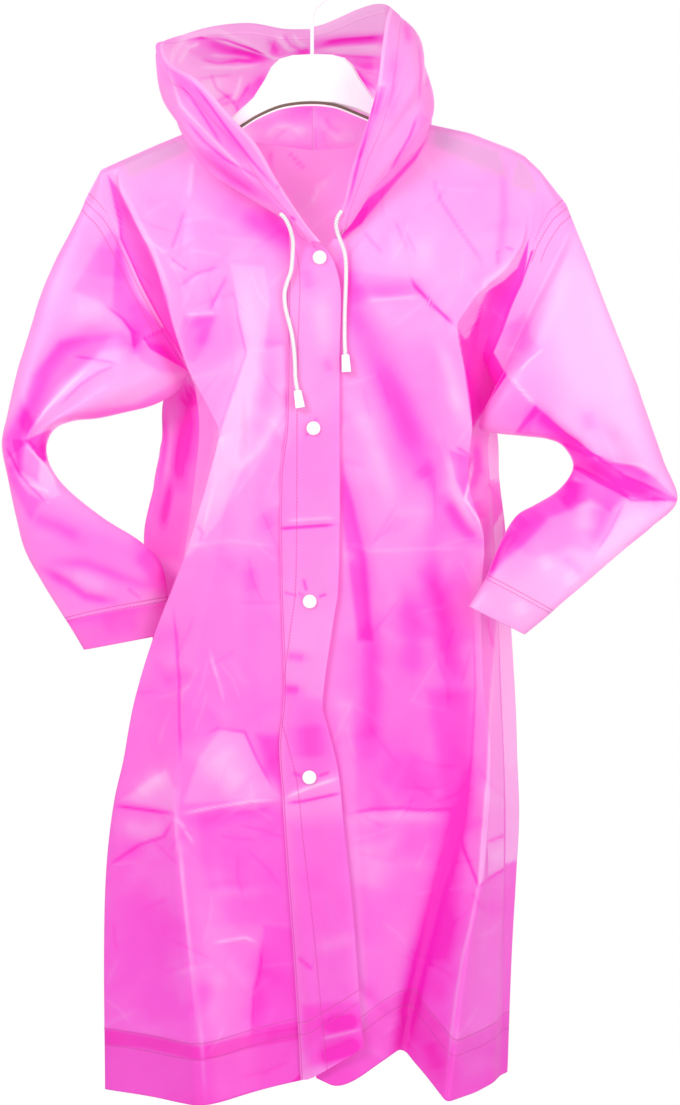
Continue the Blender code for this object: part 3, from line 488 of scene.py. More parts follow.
def makeBraid(name, colour, strands, pitch):
    # braided polyester cord: strands cross in a herringbone, drawn coarser than real to show, the
    # grooves between them painted darker as their shade
    finish, tree = newFinish(name)
    place = addNode(tree, "TexCoord")
    spread = addNode(tree, "SeparateXYZ", {0: place.outputs["UV"]})
    turn = addNode(tree, "Math", {0: spread.outputs[0], 1: strands}, operation="MULTIPLY")
    run = addNode(tree, "Math", {0: spread.outputs[1], 1: 1000 / pitch}, operation="MULTIPLY")
    waves = []
    for operation in ("ADD", "SUBTRACT"):
        lean = addNode(tree, "Math", {0: run.outputs[0], 1: turn.outputs[0]}, operation=operation)
        circle = addNode(tree, "Math", {0: lean.outputs[0], 1: 2 * math.pi}, operation="MULTIPLY")
        waves.append(addNode(tree, "Math", {0: circle.outputs[0]}, operation="SINE").outputs[0])
    strand = addNode(tree, "Math", {0: waves[0], 1: waves[1]}, operation="MAXIMUM")
    # painted shade in the grooves between the strands
    dark = addNode(tree, "MapRange", {"Value": strand.outputs[0], "From Min": 0.0,
                                      "From Max": 0.8, "To Min": 1.0, "To Max": 0.0})
    base = fromHex(colour)
    colourMix = addNode(tree, "Mix", {"Factor": dark.outputs[0], 6: base, 7: darker(base, 0.72)},
                        data_type="RGBA")
    bump = addNode(tree, "Bump", {"Strength": 0.5, "Distance": 0.3 * mm,
                                  "Height": strand.outputs[0]})
    thread = addNode(tree, "BsdfPrincipled", {"Base Color": colourMix.outputs[2],
                                              "Roughness": 0.75, "IOR": 1.5,
                                              "Sheen Weight": 0.3, "Normal": bump.outputs[0]})
    addNode(tree, "OutputMaterial", {"Surface": thread.outputs[0]})
    return finish


bodyFilm = makeFilm("EVA film, cast and turned up at the hem",
                    (("fromHem", 45, "across", 0.5), ("fromHem", 61, "", 0.5),
                     ("fromSeam", 5, "down", 0.5)))
sleeveFilm = makeFilm("EVA film, cast and turned up at the cuff",
                      (("fromHem", 33, "across", 0.5), ("fromHem", 37, "", 0.5),
                       ("fromSeam", 4, "across", 0.5), ("fromSeam", 13, "across", 0.5)),
                      deeper=-0.3)
hoodFilm = makeFilm("EVA film, cast, with a welded casing",
                    (("fromHem", 17, "", 0.2),), deeper=-0.27, through=0.5)
bandFilm = makeFilm("EVA film, doubled for the placket",
                    (("fromHem", 43, "down", 0.55), ("fromFoot", 45, "across", 0.5),
                     ("fromFoot", 57, "", 0.5), ("fromSeam", 1.3, "", 0.6)), deeper=-0.05)
snapPlastic = makeMoulded("acetal resin, moulded white", "f6f4f6", 0.32, 0.6, 0.05)
tipPlastic = makeMoulded("polypropylene, moulded white", "f7f6f7", 0.4, 0.8, 0.05)
hangerPlastic = makeMoulded("polystyrene, moulded white", "f3f2f0", 0.3, 1.2, 0.06)
# a dark strip painted as the shade along the hanger's lower edge
hangerEdgeShade = makeMoulded("painted shade along the hanger's lower edge", "6a5648", 0.4, 1.0, 0.05)
hookCoat = makeMoulded("steel wire dipped in white vinyl", "efefef", 0.35, 0.9, 0.05)
cordBraid = makeBraid("polyester cord, braided white", "f4f3f5", 3.0, 2.6)
print("coat: finishes made")


seenFrom = {"place": (0.028, -7.0, -0.5925), "sensor": 36, "lens": 227}
view = bpy.data.cameras.new("view")
view.sensor_width, view.lens = seenFrom["sensor"], seenFrom["lens"]
cameraObject = bpy.data.objects.new("camera", view)
bpy.context.scene.collection.objects.link(cameraObject)
cameraObject.location = seenFrom["place"]
cameraObject.rotation_euler = (math.radians(90), 0, 0)
bpy.context.scene.camera = cameraObject

cordLook = {"width": 4.0, "sides": 16, "step": 1.2, "endShare": 0.25,
            "tip": (9.5, 8.17, 17.0), "tipTaper": (0.8, 0.85, 1), "tipGap": 0.4, "round": 1.1,
            "capInset": 1.2, "capRise": 1.0, "footInset": 1.6, "footDepth": 0.8}

rightCord = ((280, 214, -48.7), (285, 219, -48.7), (290, 229, -45.6), (293, 242, -39.6),
              (292.5, 256, -36.9), (291, 271, -35.5), (287, 283, -34.9), (284.5, 294, -34.6),
              (285.5, 308, -35.1), (289, 322, -36.5), (292, 335, -37.2), (294, 350, -37.7),
              (295, 364, -38.2), (295.5, 378, -39), (297.5, 391, -41.6))
leftCord = ((342, 211, -43.2), (338.5, 216, -41.4), (336.2, 223, -38.6), (337, 231, -35),
             (340.5, 241, -32), (344.5, 252, -30), (346, 265, -29.4), (346, 280, -29.8),
             (345.4, 296, -30.6), (344.8, 312, -31.6), (344.6, 328, -32.7), (344.7, 342, -34.2),
             (345.4, 355, -37.6))


def addCord(name, route):
    # a round tube along the route, with its map running along the cord in real metres
    look = cordLook
    length = np.linalg.norm(np.diff(np.array(route, dtype=float), axis=0), axis=1).sum()
    count = int(length / look["step"])
    path = throughPoints(route, np.linspace(0, len(route) - 1, count))
    radius = np.full(count, look["width"] / 2)
    radius[[0, -1]] *= look["endShare"]
    cord = addCloth(name, tubeGrid(path, radius, look["sides"]), {}, cordBraid, 1, closed=True)
    ends = bmesh.new()
    ends.from_mesh(cord.data)
    bmesh.ops.holes_fill(ends, edges=[edge for edge in ends.edges if edge.is_boundary], sides=0)
    bmesh.ops.recalc_face_normals(ends, faces=ends.faces)
    ends.to_mesh(cord.data)
    ends.free()
    return cord, path


def addTip(name, path):
    # the moulded end: a squared sleeve crimped on the cord, a little wider at its foot
    look = cordLook
    ahead = path[-1] - path[-8]
    lean = math.atan2(ahead[0], ahead[1])
    way = Vector((math.sin(lean), 0, -math.cos(lean)))
    work = bmesh.new()
    bmesh.ops.create_cube(work, size=1)
    bmesh.ops.scale(work, verts=work.verts, vec=Vector(look["tip"]) * mm)
    top = [vert for vert in work.verts if vert.co.z > 0]
    bmesh.ops.scale(work, verts=top, vec=look["tipTaper"])
    cap = [face for face in work.faces if face.normal.z > 0.9]
    bmesh.ops.inset_region(work, faces=cap, thickness=look["capInset"] * mm, depth=0)
    bmesh.ops.translate(work, verts=[vert for face in cap for vert in face.verts],
                        vec=(0, 0, look["capRise"] * mm))
    foot = [face for face in work.faces if face.normal.z < -0.9]
    bmesh.ops.inset_region(work, faces=foot, thickness=look["footInset"] * mm,
                           depth=-look["footDepth"] * mm)
    bmesh.ops.bevel(work, geom=[edge for edge in work.edges if edge.calc_face_angle(0) > 0.5],
                    offset=look["round"] * mm, offset_type="OFFSET", segments=3, profile=0.5,
                    affect="EDGES", clamp_overlap=True, material=-1)
    turn = Vector((0, 0, -1)).rotation_difference(way)
    bmesh.ops.rotate(work, verts=work.verts, cent=(0, 0, 0), matrix=turn.to_matrix())
    bmesh.ops.translate(work, verts=work.verts, vec=Vector(toMetres(path[-1]))
                        + way * (look["tip"][2] / 2 + look["tipGap"]) * mm)
    bmesh.ops.recalc_face_normals(work, faces=work.faces)
    return addPiece(name, meshFrom(work, name), tipPlastic)


for side, route in (("right", rightCord), ("left", leftCord)):
    cord, path = addCord("drawcord_" + side, route)
    tip = addTip("drawcord_end_" + side, path)
    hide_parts("cord_" + side)
    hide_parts("cord_tip_" + side)


bodyCloth = {"levels": (120, 250, 400, 560, 680, 800, 1100),
             "tones": (-0.32, -0.34, -0.2, -0.04, 0.14, 0.26, 0.4),  # painted light and shade: paler by the shoulders, deeper low down
             "hem": 61.0, "turnGap": 1.0, "hemTone": 0.18, "hemEdge": 3.0,
             "seamReach": 12.0, "seamFade": 24.0, "underarm": 372.0,
             "shoulderDepth": 1.2, "shoulderReach": 5.0,
             "calmSides": 9.0, "calmTop": 12.0}  # no creases this near the seams

rightFront = foldLines(
    ("placket edge", 6, 226, 298, -23, 320, 299, -30, 430, 298, -34, 480, 290, -36, 590, 289,
     -38, 694, 293, -40, 743, 288, -41, 799, 293, -42, 892, 300, -44, 1017, 311, -46, 1076, 314,
     -47),
    ("chest ridge", 40, 202, 262, -19, 270, 258, -31, 400, 252, -37, 520, 256, -38, 660, 258,
     -41, 800, 252, -42, 936, 258, -38, 1024, 258, -38, 1088, 262, -42),
    ("front ridge", 22, 137, 208, -9.6, 190, 218, -20, 250, 228, -30, 340, 232, -42, 432, 238,
     -46, 552, 222, -51, 660, 200, -55, 760, 183, -58, 813, 179, -59, 958, 194, -66, 1035, 202,
     -70, 1104, 206, -72),
    ("neck point", 24, 127, 195, -0.6, 129.5, 195, -5.8, 135, 196, -8.8, 200, 198, -20, 306, 216,
     -37, 434, 234, -46, 552, 214, -49, 660, 186, -49, 760, 168, -48, 870, 164, -46, 958, 171,
     -49, 1101, 180, -54),
    ("shoulder", 24, 143, 156, -0.6, 145.5, 156, -5.8, 151, 157, -8.6, 200, 166, -16, 306, 190,
     -32, 369, 206, -38, 434, 228, -44, 552, 204, -46, 660, 170, -42, 760, 152, -36, 870, 142,
     -30, 958, 146, -30, 1096, 152, -34),
    ("front fold", 5, 158.5, 121, -0.6, 161, 121, -5.8, 166, 120, -8.6, 187, 118, -15, 221, 133,
     -23, 260, 152, -29, 306, 165, -34, 369, 185, -38, 418, 210, -42, 434, 216, -43, 475, 206,
     -43, 552, 183, -40, 636, 151, -34, 700, 132, -28, 760, 121, -22, 800, 112, -16, 870, 105,
     -11, 958, 103, -9, 1091, 104, -8),
    ("tuck", 6, 163, 111, -0.6, 165.5, 111, -5.8, 170, 111, -7.6, 187, 119, -8, 226, 146, -6,
     260, 166, -5, 306, 182, -6, 369, 208, -10, 434, 248, -16, 552, 232, -16, 636, 202, -14, 700,
     166, -6, 760, 140, 0, 820, 114, 2, 900, 104, 0, 1091, 104, 0),
    ("underarm", 5, 168, 100, -0.6, 170.5, 100, -5.8, 176, 100, -7.4, 200, 104, -10, 234, 121,
     -12, 270, 138, -12, 322, 168, -9, 369, 202, -1, 400, 212, 3, 470, 218, 5, 552, 202, 7, 640,
     176, 8, 720, 146, 8, 800, 122, 8, 900, 106, 7, 1091, 106, 7),
    ("armhole and side seam", 4, 196, 85, -0.9, 204, 94, -7, 216, 106, -10, 234, 117, -12, 256,
     128, -13, 287, 142, -13, 322, 161, -11, 352, 179, -7, 372, 191, 0, 400, 198, 8, 440, 199,
     12, 552, 184, 14, 640, 166, 14, 720, 144, 14, 800, 122, 13, 900, 108, 12, 1091, 109, 12))
leftFront = foldLines(
    ("under edge", 6, 250, 324, -20, 320, 306, -25, 430, 306, -29, 530, 303, -32, 694, 303, -35,
     799, 305, -37, 892, 310, -39, 1017, 316, -41, 1077, 316, -42),
    ("placket line", 20, 222, 348, -20, 320, 350, -29, 430, 352, -34, 545, 352, -37, 700, 350,
     -39, 815, 352, -40, 930, 352, -42, 1030, 346, -44, 1089, 342, -45),
    ("chest", 34, 180, 378, -14, 250, 392, -30, 330, 400, -38, 430, 398, -43, 560, 400, -45, 700,
     398, -44, 815, 398, -42, 918, 396, -38, 1000, 393, -34, 1054, 392, -33),
    ("hem valley", 14, 132, 413, -9.6, 190, 420, -20, 240, 424, -28, 330, 432, -38, 430, 438,
     -41, 560, 444, -43, 700, 452, -39, 815, 455, -33, 918, 432, -24, 993, 414, -18, 1049, 403,
     -16),
    ("neck point", 20, 121.5, 426, -0.6, 124, 426, -5.8, 129.5, 427, -8.8, 200, 438, -21, 330,
     439, -38, 430, 446, -42, 560, 454, -44, 700, 460, -41, 815, 464, -37, 918, 441, -31, 993,
     423, -28, 1061, 413, -28),
    ("shoulder", 20, 131, 470, -0.6, 133.5, 470, -5.8, 139, 470, -8.6, 200, 468, -20, 262, 458,
     -29, 310, 446, -36, 387, 456, -43, 478, 458, -44, 560, 466, -46, 700, 470, -44, 815, 474,
     -42, 918, 452, -40, 993, 434, -38, 1074, 425, -40),
    ("hem ridge", 8, 147, 512, -0.6, 149.5, 512, -5.8, 155, 512, -8.6, 200, 518, -16, 238, 524,
     -21, 262, 514, -25, 280, 498, -30, 294, 482, -34, 310, 470, -38, 328, 460, -41, 387, 471,
     -44, 429, 475, -46, 478, 470, -46, 507, 477, -48, 539, 487, -50, 600, 485, -50, 680, 485,
     -50, 760, 493, -50, 883, 482, -54, 940, 469, -58, 1042, 454, -62, 1100, 446, -64),
    ("tuck", 6, 154, 525, -0.6, 156.5, 525, -5.8, 162, 526, -7.6, 205, 532, -12, 240, 526, -14,
     275, 499, -14, 300, 468, -14, 330, 446, -14, 387, 448, -14, 429, 450, -15, 507, 452, -16,
     600, 460, -18, 680, 464, -20, 760, 476, -24, 883, 490, -26, 940, 486, -28, 1042, 480, -32,
     1092, 476, -34),
    ("side pleat", 5, 169, 541, -0.6, 171.5, 541, -5.8, 176, 542, -7.4, 212, 544, -11, 240, 533,
     -14, 275, 520, -13, 300, 505, -10, 330, 489, -5, 368, 480, 6, 400, 480, 9, 429, 482, 9, 507,
     490, 0, 600, 498, -2, 680, 500, -4, 760, 504, -8, 883, 504, -12, 958, 500, -14, 1042, 496,
     -14, 1084, 494, -14),
    ("armhole and side seam", 4, 202, 567, -0.9, 208, 560, -7, 216, 551, -10, 240, 536, -13, 265,
     527, -13, 290, 519, -12, 330, 503, -10, 354, 493, -5, 374, 490, 3, 384, 500, 8, 400, 500,
     10, 440, 489, 12, 507, 493, 12, 600, 498, 11, 700, 502, 10, 813, 506, 8, 958, 504, 4, 1078,
     501, 4))
back = foldLines(
    ("right seam", 4, 196, 85, 0.9, 204, 92, 8, 216, 102, 12, 234, 112, 15, 256, 123, 17, 287,
     139, 17, 322, 159, 15, 352, 176, 9, 372, 188, 3, 400, 195, 10.2, 440, 197, 14.2, 552, 183,
     16.2, 640, 165, 16.2, 720, 143, 16.2, 800, 121, 15.2, 900, 107, 14.2, 1091, 108, 14.2),
    ("right fold", 7, 165, 107, 0.6, 167.5, 107, 5.8, 173, 108, 8.6, 234, 134, 20, 322, 174, 26,
     366, 182, 26, 394, 160, 25, 440, 157, 25, 480, 150, 25, 533, 139, 25, 600, 144, 27, 650,
     148, 27, 700, 136, 26, 760, 124, 25, 800, 114, 25, 870, 106, 24, 958, 104, 23, 1088, 105, 23),
    ("right blade", 26, 143, 156, 0.6, 145.5, 156, 5.8, 151, 156, 8.6, 234, 176, 28, 322, 204,
     38, 400, 198, 45, 533, 186, 51, 700, 174, 55, 870, 148, 54, 1084, 144, 56),
    ("right neck point", 24, 127, 195, 0.6, 129.5, 195, 5.8, 135, 196, 9, 234, 202, 30, 400, 222,
     43, 533, 214, 48, 700, 202, 49, 870, 180, 47, 1080, 172, 47),
    ("right gather", 20, 135, 209, 10, 234, 226, 29, 400, 244, 40, 533, 240, 43, 700, 230, 41,
     870, 210, 38, 1076, 202, 36),
    ("middle right", 26, 138, 250, 24, 160, 250, 28, 300, 262, 40, 460, 274, 53, 700, 268, 62,
     900, 262, 66, 1068, 258, 68),
    ("middle", 26, 147, 312, 28, 170, 312, 31, 300, 312, 38, 460, 316, 43, 700, 318, 45, 900,
     320, 46, 1058, 322, 46),
    ("middle left", 26, 144, 362, 25, 164, 364, 29, 300, 366, 40, 460, 370, 53, 700, 376, 62,
     900, 380, 66, 1040, 384, 68),
    ("left gather", 20, 130, 411, 10, 234, 408, 29, 400, 404, 39, 533, 410, 42, 700, 418, 40,
     870, 426, 36, 1041, 430, 34),
    ("left neck point", 24, 121.5, 426, 0.6, 124, 426, 5.8, 129.5, 427, 9, 234, 434, 29, 400,
     430, 41, 533, 436, 45, 700, 446, 46, 870, 454, 44, 1050, 457, 43),
    ("left blade", 26, 132, 473, 0.6, 134.5, 473, 5.8, 140, 472, 8.6, 234, 464, 28, 322, 454, 38,
     400, 456, 42, 533, 464, 47, 700, 472, 51, 870, 480, 51, 1062, 482, 51),
    ("left fold", 7, 156, 527, 0.6, 158.5, 527, 5.8, 164, 527, 8.6, 234, 512, 20, 322, 490, 26,
     366, 482, 26, 400, 493, 25, 433, 501, 25, 471, 502, 25, 527, 509, 25, 622, 515, 25, 700,
     520, 25, 760, 522, 24, 813, 524, 23, 870, 521, 22, 958, 516, 19, 1074, 512, 19),
    ("left seam", 4, 202, 567, 0.9, 208, 562, 8, 216, 554, 12, 240, 541, 16, 265, 529, 17, 290,
     521, 17, 330, 504, 13, 354, 495, 10, 374, 491, 6, 384, 500, 10, 400, 500, 12.2, 440, 490,
     14.2, 507, 494, 14.2, 600, 499, 13.2, 700, 503, 12.2, 813, 507, 10.2, 958, 505, 6.2, 1078,
     502, 6.2))
rightCreases = (
    # the wedge of cloth tucked in front of the armhole, painted deeper as its shade, and its two
    # edges
    ("facet", 0, 3, 0.8, 107, 174, 118.5, 219, 120, 237, 128, 256, 137, 276, 161, 323, 185, 369,
     187, 369, 172, 323, 167, 297, 157, 271, 148, 248, 133, 219, 117, 186),
    ("sharp", -0.8, 1.6, 0.5, 107, 174, 118.5, 219, 120, 237, 128, 256, 137, 276, 161, 323, 185,
     369),
    ("sharp", 0.8, 2, -0.3, 122, 186, 138, 219, 153, 248, 162, 271, 171, 297),
    ("facet", 0, 6, 0.22, 185, 318, 216, 316, 205, 345, 195, 362, 187, 362, 182, 335),
    ("facet", 0, 4, -0.08, 180, 288, 192, 276, 222, 265, 231, 271, 218, 300, 209, 312, 185, 315),
    ("facet", 0, 60, 0.05, 128, 200, 200, 150, 240, 260, 235, 420, 190, 340),
    ("facet", 0, 22, 0.12, 160, 560, 290, 545, 285, 720, 230, 730, 190, 740, 118, 780),
    ("facet", 0, 20, 0.02, 104, 850, 180, 820, 192, 960, 196, 1040, 104, 1035),
    ("facet", 0, 2.5, 0.3, 100, 1030, 146, 1034, 202, 1045, 204, 1059, 146, 1048, 100, 1046),
    ("facet", 0, 2.5, 0.3, 203, 1044, 243, 1036, 300, 1025, 300, 1038, 243, 1049, 204, 1058),
    ("facet", 0, 2.5, 1.0, 286, 1087, 312, 1064, 364, 1038, 366, 1050, 320, 1078),
    ("shade", 0, 14, 0.75, 240, 208, 264, 226, 292, 242, 318, 252),
    ("shade", 0, 26, 0.15, 215, 192, 250, 226, 300, 262),
    ("shade", 0, 7, 0.5, 262, 206, 284, 228, 306, 243),
    ("facet", 0, 5, -0.3, 230, 264, 236, 300, 247, 353, 264, 350, 270, 300, 264, 266),
    ("facet", 0, 4, -0.3, 247, 352, 283, 345, 285, 410, 262, 450, 243, 467, 228, 460, 219, 434,
     232, 395),
    ("facet", 0, 5, -0.3, 217, 428, 228, 460, 243, 467, 220, 520, 190, 556, 180, 556, 198, 505),
    ("facet", 0, 5, -0.32, 184, 803, 200, 756, 222, 727, 244, 733, 258, 762, 281, 797),
    ("facet", 0, 7, -0.4, 122, 800, 150, 780, 166, 770, 177, 790, 175, 810),
    ("facet", 0, 14, 0.5, 258, 735, 284, 735, 284, 792, 268, 770),
    ("facet", 0, 3, 0.04, 100, 871, 139, 846, 164, 837, 177, 837, 186, 901, 194, 971, 202, 1040,
     206, 1110, 100, 1110),
    ("facet", 0, 9, -0.08, 180, 838, 188, 901, 196, 971, 203, 1040, 248, 1034, 254, 991, 260,
     945, 236, 928, 214, 900, 202, 860),
    ("facet", 0, 16, 0.12, 172, 262, 262, 262, 262, 340, 190, 380, 178, 335),
    ("facet", 0, 14, -0.05, 252, 540, 290, 540, 288, 700, 260, 700),
    ("facet", 0, 14, 0.15, 200, 815, 290, 808, 300, 925, 205, 925),
    ("facet", 0, 8, 0.3, 264, 925, 310, 930, 325, 1022, 252, 1034, 256, 985),
    ("sharp", 0.7, 2.2, -0.35, 193, 158, 191, 180, 189, 199),
    ("sharp", -0.9, 2.2, 0.35, 185, 208, 178, 230, 170, 252),
    ("sharp", 0.6, 2, -0.3, 144, 237, 156, 246, 167, 254),
    ("sharp", -0.8, 2, 0.35, 170, 257, 180, 265, 189, 271),
    ("soft", 0.8, 5, -0.35, 172, 262, 184, 270),
    ("sharp", -0.7, 2, 0.3, 178, 287, 196, 274, 222, 266),
    ("sharp", -1.1, 2.5, 0.45, 228, 274, 219, 292, 209, 311),
    ("sharp", 0.9, 2.2, -0.45, 185, 315, 200, 314, 218, 313),
    ("soft", -0.8, 9, 0.4, 190, 324, 208, 322, 201, 350),
    ("soft", 1.4, 13, -0.5, 243, 280, 252, 340, 250, 375, 236, 420, 214, 500),
    ("sharp", -0.8, 2.4, 0.3, 232, 271, 238, 319, 246, 353, 222, 425, 200, 505, 187, 548),
    ("soft", 1.0, 7, -0.3, 219, 434, 228, 460, 243, 466, 258, 453, 282, 414),
    ("shade", 0, 12, 0.35, 271, 330, 270, 375, 262, 420),
    ("shade", 0, 7, 0.5, 288, 392, 292, 408),
    ("shade", 0, 10, 0.3, 262, 512, 272, 530),
    ("shade", 0, 8, 0.3, 249, 566, 252, 594),
    ("sharp", 0.8, 2.4, -0.35, 227, 437, 210, 504, 203, 533),
    ("sharp", -0.8, 2.2, 0.3, 196, 524, 203, 533, 199, 545),
    ("sharp", 0.5, 3, -0.15, 191, 546, 230, 541, 280, 546),
    ("sharp", -0.9, 2.2, 0.35, 173, 604, 176, 638, 179, 678, 181, 766),
    ("sharp", 0.6, 2, -0.25, 209, 647, 220, 685, 225, 705),
    ("sharp", 0.6, 2, -0.2, 210, 657, 218, 679),
    ("soft", 1.6, 20, -0.55, 214, 752, 228, 770, 244, 786),
    ("sharp", -0.9, 2.4, 0.35, 200, 737, 218, 728, 245, 732, 258, 761, 278, 797),
    ("sharp", -1.2, 2.6, 0.55, 112, 806, 146, 810, 175, 813),
    ("sharp", 1.2, 2.4, -0.6, 177, 814, 212, 807, 250, 801, 283, 799),
    ("soft", -0.9, 8, 0.25, 190, 822, 240, 812, 280, 808),
    ("soft", 1.1, 9, -0.5, 138, 796, 152, 782, 164, 776),
    ("soft", 0.9, 10, -0.4, 122, 826, 146, 832, 166, 824),
    ("sharp", -1.0, 2.3, 0.45, 104, 869, 139, 845, 164, 836, 175, 817),
    ("sharp", 0.8, 3, -0.4, 177, 815, 186, 830, 195, 844),
    ("sharp", 1.0, 2.4, -0.5, 180, 766, 177, 813, 178, 835, 186, 901, 194, 971, 201, 1037, 206,
     1101),
    ("shade", 0, 30, 0.15, 140, 890, 148, 960, 150, 1030),
    ("shade", 0, 14, -0.14, 204, 880, 214, 960, 224, 1030),
    ("sharp", -0.6, 6, 0.3, 263, 940, 260, 971, 254, 991, 252, 1033),
    ("sharp", 0.7, 2.4, -0.5, 212, 942, 245, 937, 258, 942),
    ("soft", 0.5, 6, -0.15, 203, 892, 267, 890),
) + strayCreases(11, 150, (110, 190), (300, 1080), 60, 0.7)
